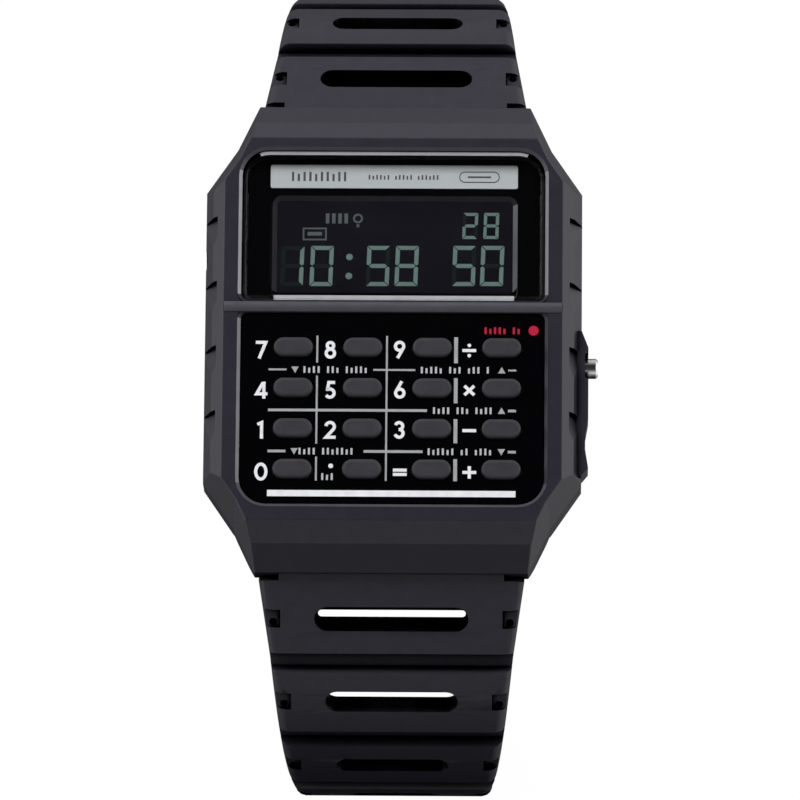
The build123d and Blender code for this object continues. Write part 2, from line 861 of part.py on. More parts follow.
def make_pusher_spring(side, y):
    """Return spring between the counterbore's floor and the head."""
    coil = spring_coil(pusher_spring_radius, spring_room, pusher_spring_turns)
    return Pos(side * bore_floor_x(side), y, pusher_z) * Rot(0, 90 * side, 0) * coil


def make_pusher_seal(side, y):
    """Rubber ring round the stem."""
    low = cavity_half_width + seal_offset
    ring = rod(seal_radius, side * low, side * (low + seal_thickness), y, pusher_z)
    return ring - rod(stem_radius + stem_gap / 2, side * (low - overrun),
                      side * (low + overrun), y, pusher_z)


def make_pusher_clip(side, y):
    """Open clip in the stem's groove, inside the cavity."""
    low = clip_place_x()
    ring = rod(pusher_clip_radius, side * low, side * (low + pusher_clip_thickness), y, pusher_z)
    inner = stem_radius - pusher_clip_groove + pusher_clip_gap
    ring -= rod(inner, side * (low - overrun), side * (low + overrun), y, pusher_z)
    ends = sorted((side * (low - overrun), side * (low + overrun)))
    return ring - block(*ends, y - inner, y + inner, pusher_z, pusher_z + overrun)


def make_spring_bar(side):
    """Tube of one spring bar, bored for its tips."""
    y = side * bar_y
    tube = rod(bar_radius, -bar_half_length, bar_half_length, y, bar_z)
    return tube - rod(tip_radius + tip_gap, -bar_half_length - overrun,
                      bar_half_length + overrun, y, bar_z)


def make_spring_bar_tip(side, hand):
    """One sprung tip, from inside its tube into the lug's hole."""
    y = side * bar_y
    end = lug_gap_half + lug_hole_depth - tip_end_gap
    tip = rod(tip_radius, hand * (bar_half_length - tip_shank), hand * end, y, bar_z)
    outer = tip.faces().sort_by(Axis.X)[-1 if hand > 0 else 0]
    return chamfer(outer.edges(), tip_radius / 3)


def strap_start():
    """Point on the strap's outer surface where it leaves the barrel round the bar."""
    slope = radians(strap_slope)
    return bar_y + barrel_radius * sin(slope), bar_z + barrel_radius * cos(slope)


def hood_run():
    """Length of the outer surface that the hood covers."""
    return (waist_half_length - strap_start()[0]) / cos(radians(strap_slope))


def bend_length():
    """Length of the outer surface round the bend."""
    return strap_bend * radians(strap_end_slope - strap_slope)


def strap_point(run, depth=0.0):
    """(y, z, slope in degrees) at a length along the outer surface from the hood, depth below it."""
    y, z = strap_start()
    straight = hood_run() + strap_straight
    first, last = radians(strap_slope), radians(strap_end_slope)
    length = run + hood_run()
    flat = min(length, straight)
    turn = min(max(length - straight, 0) / strap_bend, last - first)
    rest = max(length - straight - bend_length(), 0)
    slope = first + turn
    y += flat * cos(first) + strap_bend * (sin(slope) - sin(first)) + rest * cos(slope)
    z -= flat * sin(first) + strap_bend * (cos(first) - cos(slope)) + rest * sin(slope)
    return y - depth * sin(slope), z - depth * cos(slope), degrees(slope)


def strap_frame(side, run, depth=0.0):
    """Place on a strap half: X across, Y towards its tip, Z out of its outer surface."""
    y, z, slope = strap_point(run, depth)
    out = (0, side * sin(radians(slope)), cos(radians(slope)))
    return Plane(origin=(0, side * y, z), x_dir=(side, 0, 0), z_dir=out).location


def strap_profile(length):
    """Side view of a strap half: barrel, straight, bend and thinning straight."""
    bend_run = strap_straight + bend_length()
    middle = strap_straight + bend_length() / 2
    outer = [strap_start(), strap_point(strap_straight)[:2], strap_point(middle)[:2],
             strap_point(bend_run)[:2], strap_point(length)[:2]]
    first = radians(strap_slope)
    under = (bar_y - barrel_radius * sin(first), bar_z - barrel_radius * cos(first))
    inner = [under, strap_point(strap_straight, strap_thickness)[:2],
             strap_point(middle, strap_thickness)[:2], strap_point(bend_run, strap_thickness)[:2],
             strap_point(length, strap_tip_thickness)[:2]]
    back = (bar_y - barrel_radius * cos(first), bar_z + barrel_radius * sin(first))
    lines = [
        Line(outer[0], outer[1]), ThreePointArc(outer[1], outer[2], outer[3]), Line(outer[3], outer[4]),
        Line(outer[4], inner[4]),
        Line(inner[4], inner[3]), ThreePointArc(inner[3], inner[2], inner[1]), Line(inner[1], inner[0]),
        ThreePointArc(inner[0], back, outer[0]),
    ]
    return make_face(lines)


def strap_band(side, length):
    """Full-width band of a strap half, its sides tapered."""
    plane = Plane(origin=(-shoulder_width / 2, 0, 0), x_dir=(0, 1, 0), z_dir=(1, 0, 0))
    band = extrude(plane.location * strap_profile(length), shoulder_width, dir=(1, 0, 0))
    facing = (strap_slope + strap_end_slope) / 2
    along = Vector(0, cos(radians(facing)), -sin(radians(facing)))
    start = Vector(0, *strap_point(0)[:2])
    edge = [(shoulder_width / 2, -overrun)]
    for run_share, loss_share in taper_shares:
        point = Vector(0, *strap_point(run_share * taper_length)[:2]) - start
        half = (shoulder_width - loss_share * (shoulder_width - plain_width)) / 2
        edge.append((half, point.dot(along)))
    edge.append((plain_width / 2, length + overrun))
    outline = make_face(Polyline(*edge, *[(-x, y) for x, y in edge[::-1]], close=True))
    out = (0, sin(radians(facing)), cos(radians(facing)))
    view = Plane(origin=start, x_dir=(1, 0, 0), z_dir=out).location
    band &= extrude(view * outline, length + overrun, dir=out, both=True)
    return band if side > 0 else mirror(band, about=Plane.XZ)


def tongue_cut(side):
    """Material beside the tongue, out to the lug's turning circle."""
    clear = lug_radius + lug_turn_gap
    reach = shoulder_width / 2 + overrun
    cut = rod(clear, tongue_half, reach, side * bar_y, bar_z)
    return cut + rod(clear, -reach, -tongue_half, side * bar_y, bar_z)


def groove_cut(side, run):
    """Groove across the strap, wider at its mouth."""
    low, high = groove_width / 2 - groove_flare / 2, groove_width / 2 + groove_flare / 2
    points = [(-low, -groove_depth), (low, -groove_depth), (high, groove_depth), (-high, groove_depth)]
    outline = make_face(Polyline(*points, close=True))
    across = Plane(origin=(-shoulder_width, 0, 0), x_dir=(0, 1, 0), z_dir=(1, 0, 0)).location
    return strap_frame(side, run) * extrude(across * outline, 2 * shoulder_width, dir=(1, 0, 0))


def segment_cuts(side, run, length, width):
    """Through slot and two edge nicks of one strap segment."""
    slot = extrude(Pos(0, 0, -2 * strap_thickness) * SlotOverall(length, width),
                   3 * strap_thickness, dir=(0, 0, 1))
    cuts = strap_frame(side, run) * slot
    half = strap_half_width(run)
    for hand in (-1, 1):
        ends = sorted((hand * (half - nick_reach), hand * (half + nick_reach)))
        nick = block(*ends, -nick_length / 2, nick_length / 2, -nick_depth, nick_depth)
        cuts += strap_frame(side, run) * nick
    return cuts


def strap_half_width(run):
    """Half width of the strap at a run, between the shares of its taper."""
    share = min(run / taper_length, 1.0)
    for (low, low_loss), (high, high_loss) in zip(taper_shares, taper_shares[1:]):
        if share <= high:
            loss = low_loss + (high_loss - low_loss) * (share - low) / (high - low)
            return (shoulder_width - loss * (shoulder_width - plain_width)) / 2
    return plain_width / 2


def strap_body(side, length, segment_count, hole_count):
    """Strap half with its grooves, slots and nicks."""
    strap = strap_band(side, length)
    strap -= tongue_cut(side)
    bore = bar_radius + running_gap
    strap -= rod(bore, -shoulder_width, shoulder_width, side * bar_y, bar_z)
    for n in range(1, segment_count):
        strap -= groove_cut(side, n * segment_pitch)
    slots = list(zip(slot_lengths, slot_widths)) + [(tang_hole_length, tang_hole_width)] * hole_count
    for n, (slot, width) in enumerate(slots):
        strap -= segment_cuts(side, (n + 1 / 2) * segment_pitch, slot, width)
    return strap


def make_strap_tail_half():
    """6 o'clock half, with the tang's holes and a rounded tip."""
    strap = strap_body(-1, tail_length, tail_segment_count, tang_hole_count)
    keep = Pos(0, -tail_length / 2) * RectangleRounded(plain_width, tail_length, tail_round)
    end = Rectangle(2 * shoulder_width, 4 * tail_round) - keep
    cut = extrude(Pos(0, 0, -2 * strap_thickness) * end, 3 * strap_thickness, dir=(0, 0, 1))
    return strap - strap_frame(-1, tail_length) * cut


def buckle_frame_place():
    """Place of the buckle bar's axis at the end of the 12 o'clock half."""
    return strap_frame(1, buckle_length, strap_tip_thickness / 2)


def make_strap_buckle_half():
    """12 o'clock half, ending in a forked barrel round the buckle bar."""
    strap = strap_body(1, buckle_length, buckle_segment_count, 0)
    place = buckle_frame_place()
    strap += place * rod(buckle_barrel_radius, -plain_width / 2, plain_width / 2, 0, 0)
    strap -= place * rod(buckle_bar_radius + running_gap, -plain_width, plain_width, 0, 0)
    half = tang_width / 2 + tang_slot_gap
    slot = block(-half, half, -tang_slot_length, overrun, -overrun, overrun)
    return strap - place * slot


def make_buckle_frame():
    """Steel frame of the pin buckle."""
    inner = plain_width / 2 + buckle_side_gap
    outer = inner + buckle_arm_width
    long = buckle_reach + buckle_heel
    shape = Pos(0, (buckle_reach - buckle_heel) / 2) * RectangleRounded(2 * outer, long, buckle_round)
    gap = buckle_reach - buckle_far_bar
    shape -= Pos(0, (gap - overrun) / 2) * Rectangle(2 * inner, gap + overrun)
    frame = raised(shape, -buckle_thickness / 2, buckle_thickness / 2)
    rim = [e for e in frame.edges().filter_by(GeomType.LINE, reverse=True)
           if e.bounding_box().size.Z < running_gap]
    frame = fillet(rim, buckle_edge_round)
    frame -= rod(buckle_bar_radius + running_gap / 2, -outer - overrun, outer + overrun, 0, 0)
    return buckle_frame_place() * frame


def make_buckle_bar():
    """Bar through the frame's arms and the strap's end."""
    half = plain_width / 2 + buckle_side_gap + buckle_arm_width - running_gap
    return buckle_frame_place() * rod(buckle_bar_radius, -half, half, 0, 0)


def make_buckle_tang():
    """Tang, hooked round the bar and lying on the frame."""
    loop_radius = buckle_thickness / 2 + tang_gap + tang_thickness
    half = tang_width / 2
    low = buckle_thickness / 2 + tang_gap
    tang = rod(loop_radius, -half, half, 0, 0)
    tang += block(-half, half, 0, buckle_reach + tang_overhang, low, low + tang_thickness)
    tang -= rod(buckle_bar_radius + running_gap, -overrun, overrun, 0, 0)
    return buckle_frame_place() * tang


def make_keeper():
    """Loose loop round the strap."""
    half = plain_width / 2 + keeper_side_gap
    low = -strap_thickness - keeper_under_gap
    high = keeper_over_gap
    inner = block(-half, half, -keeper_length, keeper_length, low, high)
    wall = keeper_wall
    outer = block(-half - wall, half + wall, -keeper_length / 2, keeper_length / 2,
                  low - wall, high + wall)
    outer = fillet(outer.edges().filter_by(Axis.Y), keeper_round)
    return strap_frame(1, keeper_place) * (outer - inner)


def write(shape, name):
    """Write one piece to its own file."""
    export_step(shape, f"parts/{name}.step")


pieces = {
    "case": make_case, "display_window": make_display_window, "window_gasket": make_window_gasket,
    "display_mask": make_display_mask, "title_strip": make_title_strip, "lcd_panel": make_lcd_panel,
    "zebra_strips": make_zebra_strips,
    "keypad_panel": make_keypad_panel, "key_mat": make_key_mat, "module_frame": make_module_frame,
    "circuit_board": make_circuit_board, "clock_chip": make_clock_chip,
    "quartz_crystal": make_quartz_crystal, "boost_coil": make_boost_coil, "battery": make_battery,
    "battery_clip": make_battery_clip, "insulation_sheet": make_insulation_sheet,
    "module_screws": make_module_screws, "contact_springs": make_contact_springs,
    "side_contacts": make_side_contacts, "buzzer_disc": make_buzzer_disc,
    "back_gasket": make_back_gasket, "case_back": make_case_back, "back_screws": make_back_screws,
    "strap_buckle_half": make_strap_buckle_half, "strap_tail_half": make_strap_tail_half,
    "buckle_frame": make_buckle_frame, "buckle_bar": make_buckle_bar,
    "buckle_tang": make_buckle_tang, "keeper": make_keeper,
}
for name, make in pieces.items():
    write(make(), name)
for name, x, y in key_centres():
    write(make_key(x, y), f"key_{name}")
for name, side, y in (("mode", 1, mode_y), ("adjust", -1, adjust_y)):
    write(make_pusher(side, y), f"{name}_pusher")
    write(make_pusher_spring(side, y), f"{name}_pusher_spring")
    write(make_pusher_seal(side, y), f"{name}_pusher_seal")
    write(make_pusher_clip(side, y), f"{name}_pusher_clip")
for name, side in (("upper", 1), ("lower", -1)):
    write(make_spring_bar(side), f"{name}_spring_bar")
    for hand, label in ((-1, "left"), (1, "right")):
        write(make_spring_bar_tip(side, hand), f"{name}_bar_{label}_tip")
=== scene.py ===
from math import asin, ceil, cos, degrees, radians, sin, sqrt

import bmesh
import bpy
from mathutils import Matrix, Vector


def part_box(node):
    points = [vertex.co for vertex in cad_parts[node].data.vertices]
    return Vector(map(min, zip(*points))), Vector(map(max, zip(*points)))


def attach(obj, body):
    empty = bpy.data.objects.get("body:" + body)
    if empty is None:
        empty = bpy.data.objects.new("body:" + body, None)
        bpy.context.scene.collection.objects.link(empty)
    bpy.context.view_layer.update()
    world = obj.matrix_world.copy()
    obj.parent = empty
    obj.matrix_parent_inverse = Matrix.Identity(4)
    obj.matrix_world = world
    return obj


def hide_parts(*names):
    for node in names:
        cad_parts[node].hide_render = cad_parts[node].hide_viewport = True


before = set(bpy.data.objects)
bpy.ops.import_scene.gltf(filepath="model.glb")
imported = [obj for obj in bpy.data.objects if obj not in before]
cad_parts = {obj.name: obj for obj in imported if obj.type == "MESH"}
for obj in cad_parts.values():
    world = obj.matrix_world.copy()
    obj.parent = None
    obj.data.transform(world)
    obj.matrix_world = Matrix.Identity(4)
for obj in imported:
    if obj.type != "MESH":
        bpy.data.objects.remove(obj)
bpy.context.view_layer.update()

MM = 0.001

# Camera and floor, in millimetres
LOOK_AT = (0.72, -6.61, 8.2)
CAMERA_DISTANCE = 750.0
CAMERA_TILT = radians(13.8)
CAMERA_TURN = radians(1.0)
CAMERA_ROLL = radians(0.52)
CAMERA_LENS = 379.0
CAMERA_CLIP = (0.01, 20.0)
SENSOR = 36.0
PHOTO_SIZE = 800
FLOOR_Z = -104.6
FLOOR_HALF = 3000.0
FLOOR_GLOW = 1.18
# Painted shade on the floor in reflections: spans to the right, left and back over which its glow
# grows from none to full
FLOOR_RIGHT_SHADE_FADE = (20.0, 240.0)
FLOOR_LEFT_SHADE_FADE = (-30.0, -420.0)
FLOOR_BACK_SHADE_FADE = (-60.0, 1300.0)
BACK_SKY = ((0.35, 0.6), (0.85, 0.03))
FRONT_SKY = ((0.0, 0.06), (0.92, 0.05), (0.12, 0.26), (0.4, 0.74), (0.64, 0.5))
SIDE_SKY = 3.4

# Strap, in millimetres; a run is a length along its outer surface from the hood
BAR_Y = 19.2
BAR_Z = 3.23
BARREL_RADIUS = 1.5
BAR_BORE = 0.8
START_SLOPE = radians(32)
END_SLOPE = radians(106)
WAIST_HALF_LENGTH = 21.55
STRAIGHT = 8.3
BEND_RADIUS = 18.5
THICKNESS = 3.0
TIP_THICKNESS = 2.3
SHOULDER_WIDTH = 24.0
PLAIN_WIDTH = 18.0
TAPER_LENGTH = 28.0
TAPER_SHARES = ((0.0, 0.0), (0.29, 0.37), (0.58, 0.62), (0.79, 0.81), (1.0, 1.0))
SEGMENT_PITCH = 8.17
GROOVE_WIDTH = 1.6
GROOVE_CHAMFER = {1: 0.06, -1: 0.24}
GROOVE_SHIFT = {1: -0.24, -1: 0.1}
GROOVE_DEPTH = 0.9
GROOVE_FLARE = 0.35
SLOT_LENGTHS = (13.8, 11.9, 10.1, 8.0, 6.2, 4.4)
SLOT_WIDTHS = (2.3, 2.1, 2.0, 2.0, 2.0, 2.0)
SLOT_SHIFTS = (0.1, 0.0, 0.0, 0.0, 0.0, 0.0)
TANG_HOLE_LENGTH = 2.8
TANG_HOLE_WIDTH = 2.0
TANG_HOLE_COUNT = 7
TAIL_LENGTH = 118.0
TAIL_SEGMENTS = 13
TAIL_ROUND = 6.0
BUCKLE_LENGTH = 73.0
BUCKLE_SEGMENTS = 6
TONGUE_HALF = 10.05
LUG_CLEAR = {1: 3.15, -1: 2.812}
BUCKLE_BORE = 0.75
TANG_SLOT_HALF = 1.3
TANG_SLOT_LENGTH = 6.0
NICK_REACH = 1.5
NICK_LENGTH = 1.7
NICK_DEPTH = 0.4
PIN_RADIUS = 0.36
PIN_DEPTH = 1.1
PIN_INSET = 0.85
PIN_SHIFT = 0.42
STRAP_BEVEL = 0.14
BEVEL_ANGLE = radians(38)
SHARP_ANGLE = radians(50)
CUT_OVERLAP = 0.05
BUCKLE_BARREL = 1.5
BEND_STEP = 0.8
SHOULDER_DROP = ((0.95, 0.0), (0.5, 0.13), (0.19, 0.4), (0.03, 0.75), (0.0, 1.05))
SHOULDER_START = 0.4
THIN_START = 6.0
THIN_END = 12.0
THIN = 2.35
SLOT_INNER = ((0.64, 0.5), (2.1, 0.0), (2.0, 0.0), (2.0, 0.0), (2.0, 0.0), (2.0, 0.0))

# Faces that carry the printing, in millimetres
LCD_FACE = 6.15
STRIP_FACE = 6.6
PANEL_FACE = 7.9
PRINT_HEIGHT = 0.02
PRINT_STEP = 0.004
MASK_FACE = 6.45
CROSSBAR_CORNER = 0.7
WINDOW_CORNER = 2.4
CRYSTAL_BEVEL = 0.42
# How far back a crystal bevel face must turn to get its painted highlight
CRYSTAL_LIT = 0.49
INNER_SHINE = 0.005
CRYSTAL_DROP = 0.25
CRYSTAL_SNUG = 0.07
RIM_FACE = 8.2
RIM_GAP = 0.1
RIM_BEVEL = 0.28
RIM_LIFT = 0.015
RIM_STRAIGHT = 0.3
RIB_CENTRE = 1.94
RIB_WIDTH = 0.96
RIB_RISE = 0.16
RIB_SINK = 0.3
RIB_HALF_LENGTH = 15.1
FRAME_CORNER = 0.9
FRAME_SLOPE = 0.42
LEDGE_ROWS = (300.4, 296.2)
LEDGE_RISE = 0.24
KEYPAD_ROW = 410
KEYPAD_COLUMN = 393

WHITE = (0.74, 0.74, 0.76)
SEGMENT_COLOUR = (0.155, 0.24, 0.215)
GHOST_COLOUR = (0.0095, 0.0155, 0.0145)
ICON_COLOUR = (0.11, 0.13, 0.135)
RESIN = (0.0215, 0.0205, 0.03)

# Finishes
ROUGHNESS_SPREAD = 0.08
TONE_STOPS = (0.3, 0.7)
GRAIN_DEPTH = 0.05
# Painted shade in hollows: occlusion samples, and the span of occlusion over which the colour goes
# from black to full
CREVICE_SHADE_SAMPLES = 8
CREVICE_SHADE_SHARES = (0.6, 0.95)
GLASS_SHINE = (0.9, 0.9, 0.92, 1.0)
GLASS_ROUGHNESS = (0.03, 0.09)

# Surroundings: shares are parts of a direction's length along one axis
FLOOR_COLOUR = (0.24, 0.24, 0.24, 1)
FLOOR_SEEN = 0.82
SIDE_SHARES = (0.5, 0.95)
BEHIND_SHARES = (-0.5, 0.1)
SOFT_SHARES = (-0.9, 0.1)
SOFT_LEVELS = (0.06, 0.34)
SOFT_COLOUR = (0.95, 0.96, 1.0, 1)
LAMPS = (("top_softbox", (0, 400, 560), (620, 300), 4.3),
         ("left_softbox", (-520, 60, 260), (360, 420), 1.0),
         ("right_softbox", (520, 0, 260), (360, 420), 0.6))

AWAY = Vector((sin(CAMERA_TURN) * cos(CAMERA_TILT), -sin(CAMERA_TILT),
               cos(CAMERA_TURN) * cos(CAMERA_TILT)))
RIGHT = Vector((0, 1, 0)).cross(AWAY).normalized()
FACING = Matrix((RIGHT, AWAY.cross(RIGHT).normalized(), AWAY)).transposed().to_4x4()
FACING = FACING @ Matrix.Rotation(CAMERA_ROLL, 4, "Z")
EYE = Vector(LOOK_AT) + AWAY * CAMERA_DISTANCE


def add_camera():
    """Camera in front of the watch, a little below it."""
    lens = bpy.data.cameras.new("camera")
    lens.lens = CAMERA_LENS
    lens.sensor_width = SENSOR
    lens.clip_start, lens.clip_end = CAMERA_CLIP
    item = bpy.data.objects.new("camera", lens)
    item.matrix_world = Matrix.Translation(EYE * MM) @ FACING
    bpy.context.scene.collection.objects.link(item)
    bpy.context.scene.camera = item


def on_plane(px, py, z):
    """Place (x, y) in millimetres of a pixel of the photograph on the plane at height z."""
    scale = SENSOR / CAMERA_LENS / PHOTO_SIZE
    half = PHOTO_SIZE / 2
    ray = FACING.to_3x3() @ Vector(((px - half) * scale, (half - py) * scale, -1))
    point = EYE + ray * ((z - EYE.z) / ray.z)
    return point.x, point.y


def shade(rgb, factor):
    """The same colour, lighter or darker."""
    return tuple(min(1.0, c * factor) for c in rgb) + (1.0,)


def node_material(name):
    """New material with an empty node tree, and its tree."""
    material = bpy.data.materials.new(name)
    material.use_nodes = True
    tree = material.node_tree
    tree.nodes.clear()
    return material, tree


def wire(tree, socket, value):
    """Link an output into a socket, or set the socket's own value."""
    if isinstance(value, bpy.types.NodeSocket):
        tree.links.new(value, socket)
    else:
        socket.default_value = value


def map_range(tree, value, spans, levels=(0.0, 1.0)):
    """Output that carries a value from one span to another."""
    node = tree.nodes.new("ShaderNodeMapRange")
    wire(tree, node.inputs["Value"], value)
    for name, number in zip(("From Min", "From Max", "To Min", "To Max"), (*spans, *levels)):
        node.inputs[name].default_value = number
    return node.outputs["Result"]


def arithmetic(tree, operation, *values):
    """Output of a sum on one or two values."""
    node = tree.nodes.new("ShaderNodeMath")
    node.operation = operation
    for socket, value in zip(node.inputs, values):
        wire(tree, socket, value)
    return node.outputs[0]


def mix_shaders(tree, share, first, second):
    """Output of two shaders mixed by a share of the second."""
    node = tree.nodes.new("ShaderNodeMixShader")
    for socket, value in zip(node.inputs, (share, first, second)):
        wire(tree, socket, value)
    return node.outputs["Shader"]


def finish_material(name, rgb, roughness, metallic=0.0, tone=0.12, tone_scale=900.0,
                    grain=0.05, grain_scale=5200.0, stretch=(1, 1, 1), specular=0.5,
                    coat=0.0, sheen=0.0, crevice_shade=0.0, own_only=False):
    """Finish whose colour, roughness and surface vary with noise in the object's own space; given a
    distance for it, ambient occlusion paints shade into its hollows, darkening colour and gloss.
    """
    material, tree = node_material(name)
    new, link = tree.nodes.new, tree.links.new
    out = new("ShaderNodeOutputMaterial")
    shader = new("ShaderNodeBsdfPrincipled")
    link(shader.outputs["BSDF"], out.inputs["Surface"])
    place = new("ShaderNodeTexCoord")
    mapping = new("ShaderNodeMapping")
    mapping.inputs["Scale"].default_value = stretch
    link(place.outputs["Object"], mapping.inputs["Vector"])
    clouds = new("ShaderNodeTexNoise")
    clouds.inputs["Scale"].default_value = tone_scale
    clouds.inputs["Detail"].default_value = 4.0
    link(mapping.outputs["Vector"], clouds.inputs["Vector"])
    ramp = new("ShaderNodeValToRGB")
    for stop, position, factor in zip(ramp.color_ramp.elements, TONE_STOPS, (1 - tone, 1 + tone)):
        stop.position = position
        stop.color = shade(rgb, factor)
    link(clouds.outputs["Fac"], ramp.inputs["Fac"])
    link(ramp.outputs["Color"], shader.inputs["Base Color"])
    fine = new("ShaderNodeTexNoise")
    fine.inputs["Scale"].default_value = grain_scale
    fine.inputs["Detail"].default_value = 2.0
    link(mapping.outputs["Vector"], fine.inputs["Vector"])
    levels = (max(0.02, roughness - ROUGHNESS_SPREAD), min(1.0, roughness + ROUGHNESS_SPREAD))
    link(map_range(tree, fine.outputs["Fac"], (0.0, 1.0), levels), shader.inputs["Roughness"])
    bump = new("ShaderNodeBump")
    bump.inputs["Strength"].default_value = grain
    bump.inputs["Distance"].default_value = GRAIN_DEPTH * MM
    link(fine.outputs["Fac"], bump.inputs["Height"])
    link(bump.outputs["Normal"], shader.inputs["Normal"])
    shader.inputs["Metallic"].default_value = metallic
    shader.inputs["Specular IOR Level"].default_value = specular
    # Painted shade: ambient occlusion darkens the colour and the specular level in hollows, grooves
    # and slots
    if crevice_shade:
        closed = new("ShaderNodeAmbientOcclusion")
        closed.samples = CREVICE_SHADE_SAMPLES
        closed.only_local = own_only
        closed.inputs["Distance"].default_value = crevice_shade * MM
        depth = map_range(tree, closed.outputs["AO"], CREVICE_SHADE_SHARES)
        darker = new("ShaderNodeVectorMath")
        darker.operation = "SCALE"
        link(ramp.outputs["Color"], darker.inputs[0])
        link(depth, darker.inputs["Scale"])
        link(darker.outputs["Vector"], shader.inputs["Base Color"])
        link(arithmetic(tree, "MULTIPLY", depth, specular), shader.inputs["Specular IOR Level"])
    shader.inputs["Coat Weight"].default_value = coat
    shader.inputs["Sheen Weight"].default_value = sheen
    return material


def glass_material(name, tint, gloss):
    """Clear acrylic: see-through head on, with a gloss that grows towards the edge, or none."""
    material, tree = node_material(name)
    new, link = tree.nodes.new, tree.links.new
    out = new("ShaderNodeOutputMaterial")
    clear = new("ShaderNodeBsdfTransparent")
    clear.inputs["Color"].default_value = tint + (1.0,)
    shine = new("ShaderNodeBsdfGlossy")
    shine.inputs["Color"].default_value = GLASS_SHINE
    noise = new("ShaderNodeTexNoise")
    noise.inputs["Scale"].default_value = 300.0
    place = new("ShaderNodeTexCoord")
    link(place.outputs["Object"], noise.inputs["Vector"])
    link(map_range(tree, noise.outputs["Fac"], (0.0, 1.0), GLASS_ROUGHNESS), shine.inputs["Roughness"])
    share = INNER_SHINE
    if gloss:
        edge = new("ShaderNodeFresnel")
        edge.inputs["IOR"].default_value = gloss
        share = edge.outputs["Fac"]
    link(mix_shaders(tree, share, clear.outputs["BSDF"], shine.outputs["BSDF"]), out.inputs["Surface"])
    return material


FINISHES = {
    # Painted shade in the case's hollows, by ambient occlusion
    "case_resin": dict(rgb=RESIN, roughness=0.33, grain=0.12, tone=0.08, specular=0.42,
                       crevice_shade=0.9),
    # Lighter copy of the resin, a painted highlight on the rims' bevels
    "keypad_edge": dict(rgb=(0.17, 0.168, 0.18), roughness=0.3, tone=0.06, grain=0.02),
    # Lighter copy of the resin, a painted highlight on the cross bar rib and on the rims' bevels
    "rib_resin": dict(rgb=(0.058, 0.056, 0.069), roughness=0.33, grain=0.12, tone=0.08,
                      specular=0.42),
    # Painted shade in the strap's grooves, slots and nicks, by ambient occlusion
    "strap_resin": dict(rgb=RESIN, roughness=0.4, grain=0.16, tone=0.1, specular=0.36,
                        crevice_shade=4.0, own_only=True),
    "window_glass": dict(tint=(0.97, 0.98, 0.98), gloss=1.3),
    "window_inner": dict(tint=(0.99, 0.99, 0.99), gloss=0),
    # Opaque light grey: a painted highlight on the crystal's back bevel and on the window rim's faces
    # turned right
    "crystal_edge": dict(rgb=(0.27, 0.265, 0.29), roughness=0.3, tone=0.06, grain=0.02),
    "frame_edge": dict(rgb=(0.38, 0.38, 0.39), roughness=0.32, metallic=0.6, tone=0.06, grain=0.02),
    # Bright and dark copies of the frame finish: painted highlight and painted shade on the display
    # frame
    "frame_light": dict(rgb=(0.5, 0.495, 0.52), roughness=0.35, tone=0.06, grain=0.02),
    "frame_shade": dict(rgb=(0.035, 0.034, 0.04), roughness=0.4, tone=0.1, grain=0.02,
                        specular=0.2),
    "seal_rubber": dict(rgb=(0.02, 0.02, 0.021), roughness=0.7, grain=0.2, specular=0.3),
    "mask_plastic": dict(rgb=(0.001, 0.001, 0.0015), roughness=0.5, grain=0.03, specular=0.05),
    "silver_strip": dict(rgb=(0.56, 0.585, 0.59), roughness=0.38, tone=0.05, tone_scale=500,
                         stretch=(0.05, 1, 1), grain=0.06),
    "display_cell": dict(rgb=(0.0085, 0.0072, 0.012), roughness=0.4, tone=0.18, tone_scale=160,
                         grain=0.02, specular=0.1),
    "zebra_rubber": dict(rgb=(0.35, 0.2, 0.22), roughness=0.6, tone=0.6, tone_scale=2600,
                         stretch=(1, 0.02, 0.02), grain=0.1),
    "panel_gloss": dict(rgb=(0.001, 0.001, 0.0014), roughness=0.16, tone=0.2, grain=0.01,
                        specular=0.1),
    "mat_rubber": dict(rgb=(0.3, 0.31, 0.32), roughness=0.65, grain=0.1),
    "key_plastic": dict(rgb=(0.034, 0.0325, 0.038), roughness=0.55, grain=0.25, grain_scale=7000,
                        tone=0.12, specular=0.45),
    "frame_plastic": dict(rgb=(0.42, 0.4, 0.36), roughness=0.5, grain=0.08),
    "board_green": dict(rgb=(0.02, 0.13, 0.045), roughness=0.4, tone=0.35, tone_scale=1400,
                        grain=0.1),
    "chip_resin": dict(rgb=(0.013, 0.013, 0.014), roughness=0.55, grain=0.3),
    "tin_can": dict(rgb=(0.62, 0.62, 0.6), roughness=0.25, metallic=1.0, tone=0.06, stretch=(1,
                    0.05, 1)),
    "coil_copper": dict(rgb=(0.72, 0.29, 0.12), roughness=0.3, metallic=1.0, tone=0.25,
                        tone_scale=3000, stretch=(0.02, 0.02, 1), grain=0.5),
    "battery_steel": dict(rgb=(0.66, 0.66, 0.65), roughness=0.26, metallic=1.0, tone=0.05,
                          grain=0.05),
    "spring_steel": dict(rgb=(0.58, 0.57, 0.54), roughness=0.3, metallic=1.0, tone=0.1),
    "sheet_film": dict(rgb=(0.5, 0.32, 0.06), roughness=0.35, tone=0.15, grain=0.02),
    "buzzer_brass": dict(rgb=(0.6, 0.42, 0.16), roughness=0.3, metallic=1.0, tone=0.12),
    "back_steel": dict(rgb=(0.6, 0.6, 0.6), roughness=0.3, metallic=1.0, tone=0.1, tone_scale=700,
                       grain_scale=4500, stretch=(0.03, 1, 1), grain=0.12),
    "buckle_steel": dict(rgb=(0.56, 0.56, 0.57), roughness=0.28, metallic=1.0, tone=0.1,
                         stretch=(0.05, 1, 1), grain=0.1),
    "pusher_steel": dict(rgb=(0.75, 0.75, 0.74), roughness=0.2, metallic=1.0, tone=0.05,
                         stretch=(1, 0.1, 0.1), grain=0.05),
}
materials = {}
for name, values in FINISHES.items():
    materials[name] = (glass_material if "tint" in values else finish_material)(name, **values)

